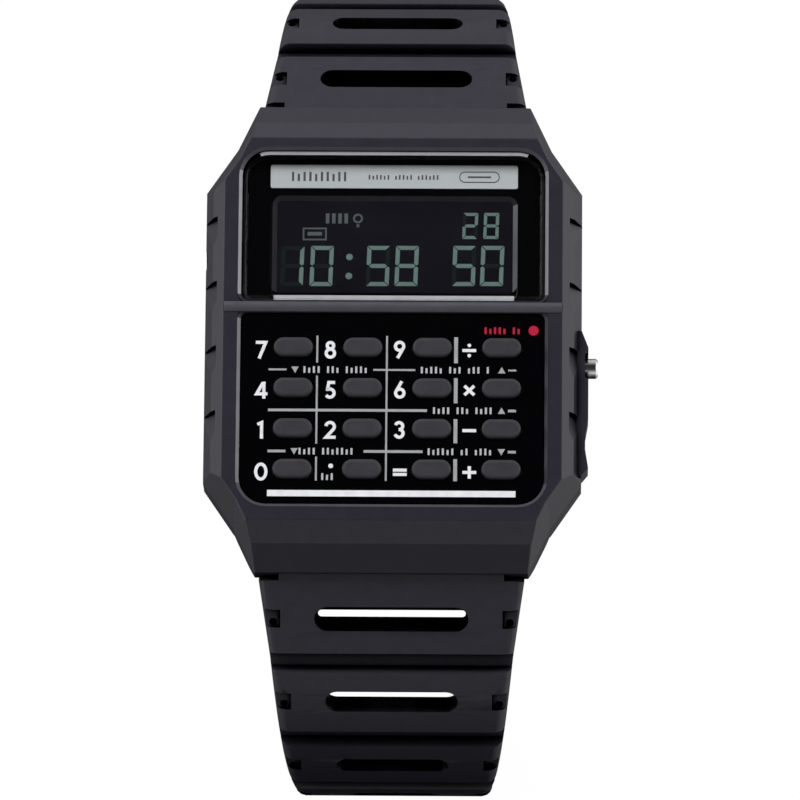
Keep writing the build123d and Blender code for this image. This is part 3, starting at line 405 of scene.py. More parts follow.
# Each solid comes with a plain material named after its slot
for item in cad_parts.values():
    for place in item.material_slots:
        place.material = materials[place.material.name.split(".")[0]]


def add_piece(name, bm, slot_name, body, *finishes):
    """Object from a bmesh in millimetres, riding on its body, in its slot's finish or others."""
    bm.normal_update()
    mesh = bpy.data.meshes.new(name)
    bmesh.ops.scale(bm, vec=(MM, MM, MM), verts=bm.verts)
    bm.to_mesh(mesh)
    bm.free()
    item = bpy.data.objects.new(name, mesh)
    bpy.context.scene.collection.objects.link(item)
    for finish in finishes or (materials[slot_name],):
        mesh.materials.append(finish)
    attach(item, body)
    return item


def prism(bm, low, high):
    """Closed solid between two rings of points of equal count."""
    bottom = [bm.verts.new(p) for p in low]
    top = [bm.verts.new(p) for p in high]
    count = len(low)
    faces = [bm.faces.new(bottom[::-1]), bm.faces.new(top)]
    for n in range(count):
        m = (n + 1) % count
        faces.append(bm.faces.new((bottom[n], bottom[m], top[m], top[n])))
    return faces


def arc(cx, cy, radius, first, last, steps=10, squeeze=1.0):
    """Points on an arc, by angles in degrees."""
    angles = [radians(first + (last - first) * n / steps) for n in range(steps + 1)]
    return [(cx + radius * squeeze * cos(angle), cy + radius * sin(angle)) for angle in angles]


def circle(cx, cy, radius, count=24):
    """Points all round a circle."""
    return arc(cx, cy, radius, 0, 360 - 360 / count, count - 1)


def plate(bm, points, low, high):
    """Flat plate with this outline between two heights."""
    area = sum(a[0] * b[1] - b[0] * a[1] for a, b in zip(points, points[1:] + points[:1]))
    if area < 0:
        points = points[::-1]
    prism(bm, [(x, y, low) for x, y in points], [(x, y, high) for x, y in points])


def bar(bm, x0, x1, y0, y1, low, high):
    """Flat rectangle between two heights."""
    plate(bm, [(x0, y0), (x1, y0), (x1, y1), (x0, y1)], low, high)


def stroke(bm, points, width, low, high, closed=False):
    """Line of constant width through the points, with mitred corners."""
    count = len(points)
    left, right = [], []
    for n, (x, y) in enumerate(points):
        before = points[n - 1] if closed or n else None
        after = points[(n + 1) % count] if closed or n < count - 1 else None
        first = Vector((x - before[0], y - before[1])).normalized() if before else None
        second = Vector((after[0] - x, after[1] - y)).normalized() if after else None
        first, second = first or second, second or first
        normal = (Vector((-first.y, first.x)) + Vector((-second.y, second.x))).normalized()
        reach = width / 2 / max(0.4, normal.dot(Vector((-first.y, first.x))))
        left.append((x + normal.x * reach, y + normal.y * reach))
        right.append((x - normal.x * reach, y - normal.y * reach))
    rings = []
    for l, r in zip(left, right):
        rings.append([bm.verts.new((l[0], l[1], low)), bm.verts.new((r[0], r[1], low)),
                      bm.verts.new((r[0], r[1], high)), bm.verts.new((l[0], l[1], high))])
    pairs = list(zip(rings, rings[1:]))
    if closed:
        pairs.append((rings[-1], rings[0]))
    else:
        bm.faces.new(rings[0])
        bm.faces.new(rings[-1][::-1])
    for a, b in pairs:
        for n in range(4):
            m = (n + 1) % 4
            bm.faces.new((a[m], a[n], b[n], b[m]))


# Printed characters in a box one unit high: open strokes, closed strokes and dots
GLYPHS = {
    "0": ([], [arc(0.33, 0.5, 0.425, 0, 342, 19, 0.66)], []),
    "1": ([[(0.14, 0.8), (0.37, 0.91), (0.37, 0.0)]], [], []),
    "2": ([arc(0.31, 0.68, 0.235, 172, -38) + [(0.1, 0.08), (0.62, 0.08)]], [], []),
    "3": ([arc(0.3, 0.71, 0.2, 165, -95), arc(0.3, 0.3, 0.225, 95, -165)], [], []),
    "4": ([[(0.5, 0.0), (0.5, 0.96)], [(0.45, 0.9), (0.1, 0.27), (0.7, 0.27)]], [], []),
    "5": ([[(0.58, 0.915), (0.24, 0.915), (0.17, 0.52)] + arc(0.3, 0.31, 0.235, 118, -150)], [], []),
    "6": ([[(0.13, 0.4), (0.45, 0.98)]], [circle(0.34, 0.31, 0.23, 18)], []),
    "7": ([[(0.05, 0.915), (0.6, 0.915), (0.24, 0.0)]], [], []),
    "8": ([], [circle(0.33, 0.73, 0.18, 18), circle(0.33, 0.3, 0.23, 18)], []),
    "9": ([[(0.54, 0.6), (0.22, 0.02)]], [circle(0.33, 0.69, 0.23, 18)], []),
    "divide": ([[(0.03, 0.45), (0.79, 0.45)]], [], [(0.41, 0.74, 0.1), (0.41, 0.16, 0.1)]),
    "multiply": ([[(0.14, 0.2), (0.68, 0.72)], [(0.14, 0.72), (0.68, 0.2)]], [], []),
    "minus": ([[(0.03, 0.45), (0.79, 0.45)]], [], []),
    "plus": ([[(0.03, 0.45), (0.79, 0.45)], [(0.41, 0.1), (0.41, 0.8)]], [], []),
    "equals": ([[(0.03, 0.34), (0.79, 0.34)], [(0.03, 0.58), (0.79, 0.58)]], [], []),
    "point": ([], [], [(0.41, 0.82, 0.13)]),
}


def draw_glyph(bm, glyph, x, y, height, low):
    """One printed character with its lower left corner at x, y."""
    opened, closed, dots = GLYPHS[glyph]
    width = 0.175 * height
    level = low + PRINT_HEIGHT
    for closing, lines in ((False, opened), (True, closed)):
        for line in lines:
            points = [(x + px * height, y + py * height) for px, py in line]
            stroke(bm, points, width, low, level, closing)
            level += PRINT_STEP
    for dx, dy, radius in dots:
        plate(bm, circle(x + dx * height, y + dy * height, radius * height), low, level)


def tick_row(bm, x0, x1, y, height, width, pitch, groups, low):
    """Row of small upright ticks in groups, where the object has small print."""
    count = int((x1 - x0 - width) / pitch)
    level = low + PRINT_HEIGHT + 4 * PRINT_STEP
    for n in range(count + 1):
        if n in groups:
            continue
        x = x0 + n * pitch
        tall = height * (0.78 if n % 3 == 1 else 1.0)
        bar(bm, x, x + width, y - height / 2, y - height / 2 + tall, low, level)


SEVEN = {"0": "abcdef", "1": "bc", "2": "abged", "3": "abgcd", "4": "fgbc", "5": "afgcd",
         "6": "afgedc", "7": "abc", "8": "abcdefg", "9": "abcdfg"}


def seven_segments(bm, which, x, y, width, height, thick, low, high, lean=0.035):
    """Segments of one display digit, lower left corner at x, y."""
    gap = 0.14 * thick
    half = height / 2
    t, h = thick, thick / 2
    shapes = {
        "a": [(gap, height), (width - gap, height), (width - t - gap, height - t),
              (t + gap, height - t)],
        "d": [(gap, 0), (width - gap, 0), (width - t - gap, t), (t + gap, t)],
        "g": [(h + gap, half), (t + gap, half + h), (width - t - gap, half + h),
              (width - h - gap, half), (width - t - gap, half - h), (t + gap, half - h)],
        "f": [(0, height - gap), (t, height - t - gap), (t, half + h + gap), (h, half + gap),
              (0, half + h / 2 + gap)],
        "b": [(width, height - gap), (width - t, height - t - gap), (width - t, half + h + gap),
              (width - h, half + gap), (width, half + h / 2 + gap)],
        "e": [(0, gap), (t, t + gap), (t, half - h - gap), (h, half - gap), (0, half - h / 2 - gap)],
        "c": [(width, gap), (width - t, t + gap), (width - t, half - h - gap), (width - h, half - gap),
              (width, half - h / 2 - gap)],
    }
    for key in which:
        points = [(x + px + lean * (py - half), y + py) for px, py in shapes[key]]
        plate(bm, points, low, high)


def face_box(px0, py0, px1, py1, z):
    """Box (x, y, width, height) in millimetres at height z of a box of pixels of the photograph."""
    x0, y0 = on_plane(px0, py1, z)
    x1, y1 = on_plane(px1, py0, z)
    return x0, y0, x1 - x0, y1 - y0


DIGIT_ROWS = ((((280.6, "1"), (310, "0"), (366.4, "5"), (395, "8"), (452.4, "5"), (480.5, "0")),
               246, 286, 23.3, 0.37),
              (((462.6, "2"), (483.6, "8")), 213, 239, 15.3, 0.28))
COLON = ((349.5, 257), (348.8, 276))
COLON_RADIUS = 0.3
lit = bmesh.new()
ghost = bmesh.new()
top = LCD_FACE + PRINT_HEIGHT
for digits, high_row, low_row, wide, thick in DIGIT_ROWS:
    for px, digit in digits:
        x, y, width, height = face_box(px, high_row, px + wide, low_row, LCD_FACE)
        seven_segments(lit, SEVEN[digit], x, y, width, height, thick, LCD_FACE, top)
        rest = [key for key in "abcdefg" if key not in SEVEN[digit]]
        seven_segments(ghost, rest, x, y, width, height, thick, LCD_FACE, top)
for px, py in COLON:
    x, y = on_plane(px, py, LCD_FACE)
    plate(lit, circle(x, y, COLON_RADIUS), LCD_FACE, top)
icons = bmesh.new()
for n in range(4):
    x, y, width, height = face_box(325.8 + n * 6.2, 213.5, 329.4 + n * 6.2, 223.5, LCD_FACE)
    bar(icons, x, x + width, y, y + height, LCD_FACE, top)
x, y, width, height = face_box(353, 213.5, 363, 223.5, LCD_FACE)
stroke(icons, circle(x + width / 2, y + height / 2, width / 2 - 0.08, 18), 0.16, LCD_FACE,
       top, True)
bar(icons, x + width / 2 - 0.12, x + width / 2 + 0.12, y - 0.34, y - 0.08, LCD_FACE, top)
x, y, width, height = face_box(303.5, 228.5, 326, 239.5, LCD_FACE)
stroke(icons, [(x, y), (x + width, y), (x + width, y + height), (x, y + height)], 0.14, LCD_FACE,
       top, True)
bar(icons, x + width * 0.18, x + width * 0.82, y + height * 0.36, y + height * 0.68, LCD_FACE, top)


def ink(name, rgb, roughness=0.45):
    """Printed or switched surface, a little uneven."""
    return finish_material(name, rgb, roughness, tone=0.07, tone_scale=1300, grain=0.03, specular=0.2)


lit_ink = ink("segment_ink", SEGMENT_COLOUR)
ghost_ink = ink("ghost_ink", GHOST_COLOUR)
icon_ink = ink("icon_ink", ICON_COLOUR)
white_ink = ink("white_ink", WHITE)
grey_ink = ink("grey_ink", (0.34, 0.345, 0.35))
red_ink = ink("red_ink", (0.46, 0.01, 0.04))
word_ink = ink("word_ink", (0.45, 0.455, 0.47))
dark_ink = ink("dark_ink", (0.09, 0.095, 0.095))
add_piece("display_digits", lit, "display_cell", "case", lit_ink)
add_piece("display_ghosts", ghost, "display_cell", "case", ghost_ink)
add_piece("display_icons", icons, "display_cell", "case", icon_ink)

marks = bmesh.new()
tick_row(marks, -9.2, -4.0, 14.42, 0.85, 0.2, 0.52, (), STRIP_FACE)
tick_row(marks, -2.3, 4.1, 14.38, 0.42, 0.14, 0.34, (6, 12), STRIP_FACE)
stroke(marks, arc(8.95, 14.42, 0.48, 90, -90, 8) + arc(6.35, 14.42, 0.48, 270, 90, 8), 0.09,
       STRIP_FACE, STRIP_FACE + PRINT_HEIGHT, True)
bar(marks, 6.6, 8.7, 14.34, 14.5, STRIP_FACE, STRIP_FACE + PRINT_HEIGHT)
add_piece("strip_marks", marks, "silver_strip", "case", dark_ink)

KEY_ROWS = (("7", "8", "9", "divide"), ("4", "5", "6", "multiply"), ("1", "2", "3", "minus"),
            ("0", "point", "equals", "plus"))
LABEL_COLUMNS = (261, 330.6, 399.8, 469.3)
LABEL_ROWS = (349.7, 389.8, 429.8, 471.6)
LABEL_HEIGHT = 1.62
DIGIT_CENTRE = 0.34
SIGN_CENTRE = 0.41
TICK_PITCH = 0.42
labels = bmesh.new()
for row, py in zip(KEY_ROWS, LABEL_ROWS):
    for glyph, px in zip(row, LABEL_COLUMNS):
        x, y = on_plane(px, py, PANEL_FACE)
        shift = DIGIT_CENTRE if glyph.isdigit() else SIGN_CENTRE
        draw_glyph(labels, glyph, x - shift * LABEL_HEIGHT, y - LABEL_HEIGHT / 2, LABEL_HEIGHT,
                   PANEL_FACE)
add_piece("key_labels", labels, "panel_gloss", "case", white_ink)


def panel_x(px):
    """Place across the keypad panel of a column of the photograph."""
    return on_plane(px, KEYPAD_ROW, PANEL_FACE)[0]


def panel_y(py):
    """Place along the keypad panel of a row of the photograph."""
    return on_plane(KEYPAD_COLUMN, py, PANEL_FACE)[1]


rules = bmesh.new()
LINE_TOP = PANEL_FACE + PRINT_HEIGHT
UPRIGHTS = ((316.6, 0.17, ((336, 363), (376, 410), (412, 444), (457, 481))),
            (386.4, 0.17, ((336, 481),)),
            (455.6, 0.34, ((337, 363), (378, 403), (419, 443), (459, 481))))
for px, width, spans in UPRIGHTS:
    x = panel_x(px)
    for first, last in spans:
        bar(rules, x - width / 2, x + width / 2, panel_y(last), panel_y(first), PANEL_FACE, LINE_TOP)
LEVELS = ((370, 0.17, ((268, 286), (373, 415), (508, 516))),
          (410.5, 0.24, ((268, 427), (508, 516))),
          (451.6, 0.24, ((268, 286), (364, 423), (508, 516))))
for py, width, spans in LEVELS:
    y = panel_y(py)
    for first, last in spans:
        bar(rules, panel_x(first), panel_x(last), y - width / 2, y + width / 2, PANEL_FACE,
            LINE_TOP + 2 * PRINT_STEP)
POINTERS = ((294.5, 370, -1), (501.5, 370, 1), (501.5, 410.5, 1), (294.5, 451.6, -1),
            (501.5, 451.6, -1))
for px, py, way in POINTERS:
    x, y = panel_x(px), panel_y(py)
    plate(rules, [(x - 0.33, y - 0.27 * way), (x + 0.33, y - 0.27 * way), (x, y + 0.31 * way)],
          PANEL_FACE, LINE_TOP)
add_piece("panel_rules", rules, "panel_gloss", "case", grey_ink)

words = bmesh.new()
for px0, px1, py, groups in ((303, 367, 370, (4, 8)), (420.5, 493, 370, (5, 9, 13)),
                             (433, 493, 410.5, (4, 8)), (299, 357, 451.6, (4,)),
                             (428, 493, 451.6, (6, 9))):
    tick_row(words, panel_x(px0), panel_x(px1), panel_y(py), 0.6, 0.18, TICK_PITCH, groups,
             PANEL_FACE)
tick_row(words, panel_x(322), panel_x(337), panel_y(477), 0.62, 0.18, TICK_PITCH, (), PANEL_FACE)
add_piece("panel_words", words, "panel_gloss", "case", word_ink)
base = bmesh.new()
bar(base, panel_x(268), panel_x(516), panel_y(496.8), panel_y(490.5), PANEL_FACE, LINE_TOP)
add_piece("panel_base_line", base, "panel_gloss", "case", white_ink)

red = bmesh.new()
tick_row(red, panel_x(484), panel_x(522.6), panel_y(330.3), 0.62, 0.2, TICK_PITCH, (5,),
         PANEL_FACE)
plate(red, circle(panel_x(533.2), panel_y(330.1), 0.45), PANEL_FACE, LINE_TOP)
add_piece("red_mark", red, "panel_gloss", "case", red_ink)


def rounded_outline(x0, x1, y0, y1, low_round, high_round, inset=0.0, steps=8):
    """Rectangle with its own corner radii below and above, drawn in by an inset."""
    points = []
    for cx, cy, radius, first in ((x1, y0, low_round, -90), (x1, y1, high_round, 0),
                                  (x0, y1, high_round, 90), (x0, y0, low_round, 180)):
        way_x, way_y = (-1 if cx == x1 else 1), (-1 if cy == y1 else 1)
        centre = (cx + way_x * radius, cy + way_y * radius)
        points += arc(centre[0], centre[1], max(radius - inset, 0.02), first, first + 90, steps)
    return points


def ring_wall(bm, first, second):
    """Strip of faces between two rings of vertices."""
    for n in range(len(first)):
        m = (n + 1) % len(first)
        bm.faces.new((first[n], first[m], second[m], second[n]))


def ring_of(bm, points, z):
    """Ring of vertices at one height."""
    return [bm.verts.new((x, y, z)) for x, y in points]


def make_crystal():
    """Acrylic window with a polished bevel round its face, clear from within; the bevel faces turned
    back are opaque light grey, a painted highlight.
    """
    low, high = [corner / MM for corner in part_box("display_window")]
    snug = CRYSTAL_SNUG
    box = (low.x - snug, high.x + snug, low.y - snug, high.y + snug, CROSSBAR_CORNER, WINDOW_CORNER)
    bm = bmesh.new()
    rings = [ring_of(bm, rounded_outline(*box, inset), z) for inset, z in
             ((0.0, low.z), (0.0, high.z - CRYSTAL_DROP), (CRYSTAL_BEVEL, high.z))]
    bm.faces.new(rings[0][::-1])
    ring_wall(bm, rings[0], rings[1])
    ring_wall(bm, rings[1], rings[2])
    bm.faces.new(rings[2])
    bm.normal_update()
    # Underside and walls are clear from within; bevel faces turned back take an opaque light grey, a
    # painted highlight
    for face in bm.faces:
        if face.normal.z < 0.1:
            face.material_index = 2
        else:
            face.material_index = 1 if face.normal.y > CRYSTAL_LIT else 0
    crystal = add_piece("crystal", bm, "window_glass", "case", materials["window_glass"],
                        materials["crystal_edge"], materials["window_inner"])
    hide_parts("display_window")


def make_display_frame():
    """Sloping frame round the display cell, with a ledge on the mask below it, in painted light and
    shade: faces turned right or to the front are dark, faces turned back are bright.
    """
    x0, y0 = on_plane(271.5, 300.5, MASK_FACE)
    x1, y1 = on_plane(517.8, 196.5, MASK_FACE)
    bm = bmesh.new()
    outer = rounded_outline(x0, x1, y0, y1, FRAME_CORNER, FRAME_CORNER)
    inner = rounded_outline(x0, x1, y0, y1, FRAME_CORNER, FRAME_CORNER, FRAME_SLOPE)
    top = ring_of(bm, outer, MASK_FACE + PRINT_HEIGHT)
    foot = ring_of(bm, outer, LCD_FACE)
    lip = ring_of(bm, inner, LCD_FACE + PRINT_STEP)
    ring_wall(bm, foot, top)
    ring_wall(bm, top, lip)
    ring_wall(bm, lip, foot)
    x0, y0 = on_plane(273.6, LEDGE_ROWS[0], MASK_FACE)
    x1, y1 = on_plane(514.0, LEDGE_ROWS[1], MASK_FACE)
    ledge = ((y0, 0.0), (y1, 0.0), (y1, PRINT_HEIGHT), (y0, LEDGE_RISE))
    prism(bm, [(x0, y, MASK_FACE + rise) for y, rise in ledge],
          [(x1, y, MASK_FACE + rise) for y, rise in ledge])
    bmesh.ops.recalc_face_normals(bm, faces=bm.faces)
    # Painted light and shade: faces turned right or to the front get a dark copy of the frame finish,
    # faces turned back a bright copy
    for face in bm.faces:
        shaded = face.normal.x > 0.1 or face.normal.y < -0.1
        face.material_index = 1 if shaded else 2 if face.normal.y > 0.3 else 0
    add_piece("display_frame", bm, "mask_plastic", "case", materials["frame_edge"],
              materials["frame_shade"], materials["frame_light"])


def make_rim(name, node, low_round, high_round, finishes):
    """Polished bevel round an opening of the case, with painted highlights: a finish of its own
    brightness for each side that it faces.
    """
    low, high = [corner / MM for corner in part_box(node)]
    box = (low.x - RIM_GAP, high.x + RIM_GAP, low.y - RIM_GAP, high.y + RIM_GAP, low_round,
           high_round)
    bm = bmesh.new()
    outer, inner, hidden = [ring_of(bm, rounded_outline(*box, inset), RIM_FACE + rise)
                            for inset, rise in ((-RIM_BEVEL, RIM_LIFT), (RIM_LIFT, -RIM_BEVEL),
                                                (-RIM_BEVEL / 2, -RIM_BEVEL))]
    ring_wall(bm, outer, inner)
    ring_wall(bm, inner, hidden)
    ring_wall(bm, hidden, outer)
    bm.normal_update()
    # Painted light: faces turned right, left, front and back take the first to fourth finish, the
    # lighter ones painting highlights on the bevel
    for face in bm.faces:
        x, y = face.normal.x, face.normal.y
        along = abs(y) < RIM_STRAIGHT * abs(x)
        face.material_index = (0 if x > 0 else 1) if along else (2 if y < 0 else 3)
    add_piece(name, bm, "case_resin", "case", *(materials[finish] for finish in finishes))


def make_crossbar_rib():
    """Rounded rib along the case's cross bar and over both side flats, in a lighter copy of the resin
    that paints its highlight.
    """
    bm = bmesh.new()
    section = [(RIB_CENTRE + share * RIB_WIDTH / 2, RIM_FACE + RIB_RISE * sqrt(1 - share ** 2))
               for share in (-1, -0.92, -0.75, -0.5, -0.2, 0.2, 0.5, 0.75, 0.92, 1)]
    section += [(RIB_CENTRE + RIB_WIDTH / 2, RIM_FACE - RIB_SINK),
                (RIB_CENTRE - RIB_WIDTH / 2, RIM_FACE - RIB_SINK)]
    prism(bm, [(-RIB_HALF_LENGTH, y, z) for y, z in section],
          [(RIB_HALF_LENGTH, y, z) for y, z in section])
    for face in bm.faces:
        face.smooth = len(face.verts) == 4
    bmesh.ops.recalc_face_normals(bm, faces=bm.faces)
    # The rib's lighter finish is a painted highlight
    rib = add_piece("crossbar_rib", bm, "case_resin", "case", materials["rib_resin"])
    rib.data.set_sharp_from_angle(angle=SHARP_ANGLE)


make_crystal()
make_display_frame()
make_crossbar_rib()
# Painted highlights on the two rims, by lighter finishes for faces turned right, left, front and back
make_rim("window_rim", "display_window", CROSSBAR_CORNER, WINDOW_CORNER,
         ("crystal_edge", "keypad_edge", "rib_resin", "case_resin"))
make_rim("keypad_rim", "keypad_panel", WINDOW_CORNER, CROSSBAR_CORNER,
         ("keypad_edge", "case_resin", "case_resin", "rib_resin"))


def strap_start():
    """Point where the strap's outer surface leaves the barrel round the bar."""
    return BAR_Y + BARREL_RADIUS * sin(START_SLOPE), BAR_Z + BARREL_RADIUS * cos(START_SLOPE)


HOOD_RUN = (WAIST_HALF_LENGTH - strap_start()[0]) / cos(START_SLOPE)
BEND_LENGTH = BEND_RADIUS * (END_SLOPE - START_SLOPE)
BEND_END = STRAIGHT + BEND_LENGTH


def strap_point(run, depth):
    """(y, z) at a length along the outer surface from the hood, depth below it."""
    y, z = strap_start()
    length = run + HOOD_RUN
    straight = HOOD_RUN + STRAIGHT
    flat = min(length, straight)
    turn = min(max(length - straight, 0) / BEND_RADIUS, END_SLOPE - START_SLOPE)
    rest = max(length - straight - BEND_LENGTH, 0)
    slope = START_SLOPE + turn
    y += flat * cos(START_SLOPE) + BEND_RADIUS * (sin(slope) - sin(START_SLOPE)) + rest * cos(slope)
    z -= flat * sin(START_SLOPE) + BEND_RADIUS * (cos(START_SLOPE) - cos(slope)) + rest * sin(slope)
    return y - depth * sin(slope), z - depth * cos(slope)


def strap_half_width(run, length, tip_round):
    """Half width of the strap at a run, with the tip's rounded corners."""
    share = min(max(run / TAPER_LENGTH, 0.0), 1.0)
    half = PLAIN_WIDTH / 2
    for (low, low_loss), (high, high_loss) in zip(TAPER_SHARES, TAPER_SHARES[1:]):
        if low <= share <= high:
            loss = low_loss + (high_loss - low_loss) * (share - low) / (high - low)
            half = (SHOULDER_WIDTH - loss * (SHOULDER_WIDTH - PLAIN_WIDTH)) / 2
            break
    over = run - (length - tip_round)
    if tip_round and over > 0:
        half -= tip_round - sqrt(max(tip_round ** 2 - over ** 2, 0.0))
    return half


def across(bm, points, x0, x1):
    """Prism across the strap with a side view of (run, depth) points."""
    prism(bm, [(x0, run, -depth) for run, depth in points],
          [(x1, run, -depth) for run, depth in points])


def through(bm, points, low, high, inner=None):
    """Prism into the strap between two depths, by a plan of (x, run) points or one for each end."""
    prism(bm, [(x, run, -high) for x, run in inner or points],
          [(x, run, -low) for x, run in points])


def stadium(x, run, length, width, steps=10):
    """Outline with two round ends, as (x, run) points."""
    reach = (length - width) / 2
    return (arc(x + reach, run, width / 2, -90, 90, steps)
            + arc(x - reach, run, width / 2, 90, 270, steps))


def strap_thickness(run, length):
    """Thickness of the strap at a run: full at the barrel, thin from the second segment on."""
    share = min(max((run - THIN_START) / (THIN_END - THIN_START), 0.0), 1.0)
    rest = max(run - THIN_END, 0) / (length - THIN_END)
    return THICKNESS + (THIN - THICKNESS) * share + (TIP_THICKNESS - THIN) * rest


def round_end(bm, station, centre, radius, first, last, steps):
    """Round end between a station's outer and inner edges, with its two flat sides."""
    half = abs(station[0][-1].co.x)
    sides = []
    for column, x in ((station[0], -half), (station[1], half)):
        points = [column[0]]
        for n in range(1, steps):
            angle = radians(first + (last - first) * n / steps)
            points.append(bm.verts.new((x, centre[0] + radius * cos(angle),
                                        radius * sin(angle) - centre[1])))
        points.append(column[-1])
        bm.faces.new(points + column[1:-1][::-1])
        sides.append(points)
    for n in range(steps):
        bm.faces.new((sides[0][n], sides[1][n], sides[1][n + 1], sides[0][n + 1]))


def strap_base(length, tip_round, end_barrel):
    """Plain tapered band in strap space: X across, Y along, Z out of the outer surface."""
    bm = bmesh.new()
    runs = [-HOOD_RUN, SHOULDER_START, SHOULDER_START + 0.1, THIN_START, THIN_END, BEND_END]
    runs += [share * TAPER_LENGTH for share, _ in TAPER_SHARES[1:]]
    end = length
    if tip_round:
        runs += [length - tip_round * (1 - sin(radians(angle)))
                 for angle in (0, 15, 30, 45, 60, 72, 82)]
    if end_barrel:
        end = length - sqrt(end_barrel ** 2 - (TIP_THICKNESS / 2) ** 2)
    runs = sorted(set(runs)) + [end]
    ring = []
    for run in runs:
        half = strap_half_width(run, length, tip_round)
        soft = 1.0 if run > SHOULDER_START else 0.04
        thick = strap_thickness(run, length)
        section = [(half - dx * soft, drop * soft) for dx, drop in SHOULDER_DROP] + [(half, thick)]
        ring.append([[bm.verts.new((hand * x, run, -depth)) for x, depth in section]
                     for hand in (-1, 1)])
    for a, b in zip(ring, ring[1:]):
        rows_a = a[0][::-1] + a[1]
        rows_b = b[0][::-1] + b[1]
        for n in range(len(rows_a)):
            m = (n + 1) % len(rows_a)
            bm.faces.new((rows_a[n], rows_a[m], rows_b[m], rows_b[n]))
    round_end(bm, ring[0], (-HOOD_RUN, THICKNESS / 2), THICKNESS / 2, 90, 270, 14)
    if end_barrel:
        lean = degrees(asin(TIP_THICKNESS / 2 / end_barrel))
        round_end(bm, ring[-1], (length, TIP_THICKNESS / 2), end_barrel, 180 - lean, lean - 180, 22)
    else:
        bm.faces.new(ring[-1][0][::-1] + ring[-1][1])
    bmesh.ops.recalc_face_normals(bm, faces=bm.faces)
    return bm


def scratch_object(name, bm):
    """Object for a working mesh."""
    bmesh.ops.recalc_face_normals(bm, faces=bm.faces)
    mesh = bpy.data.meshes.new(name)
    bm.to_mesh(mesh)
    bm.free()
    item = bpy.data.objects.new(name, mesh)
    bpy.context.scene.collection.objects.link(item)
    return item


def cut_and_bevel(bm, cutters, bevel):
    """Working mesh after its cutters are taken away and its edges are bevelled."""
    body = scratch_object("band", bm)
    tools = [scratch_object("cutter", cutter) for cutter in cutters]
    for tool in tools:
        step = body.modifiers.new("cut", "BOOLEAN")
        step.operation = "DIFFERENCE"
        step.solver = "EXACT"
        step.object = tool
    step = body.modifiers.new("bevel", "BEVEL")
    step.width = bevel
    step.segments = 2
    step.limit_method = "ANGLE"
    step.angle_limit = BEVEL_ANGLE
    depsgraph = bpy.context.evaluated_depsgraph_get()
    mesh = bpy.data.meshes.new_from_object(body.evaluated_get(depsgraph))
    result = bmesh.new()
    result.from_mesh(mesh)
    for item in [body] + tools:
        bpy.data.objects.remove(item)
    return result


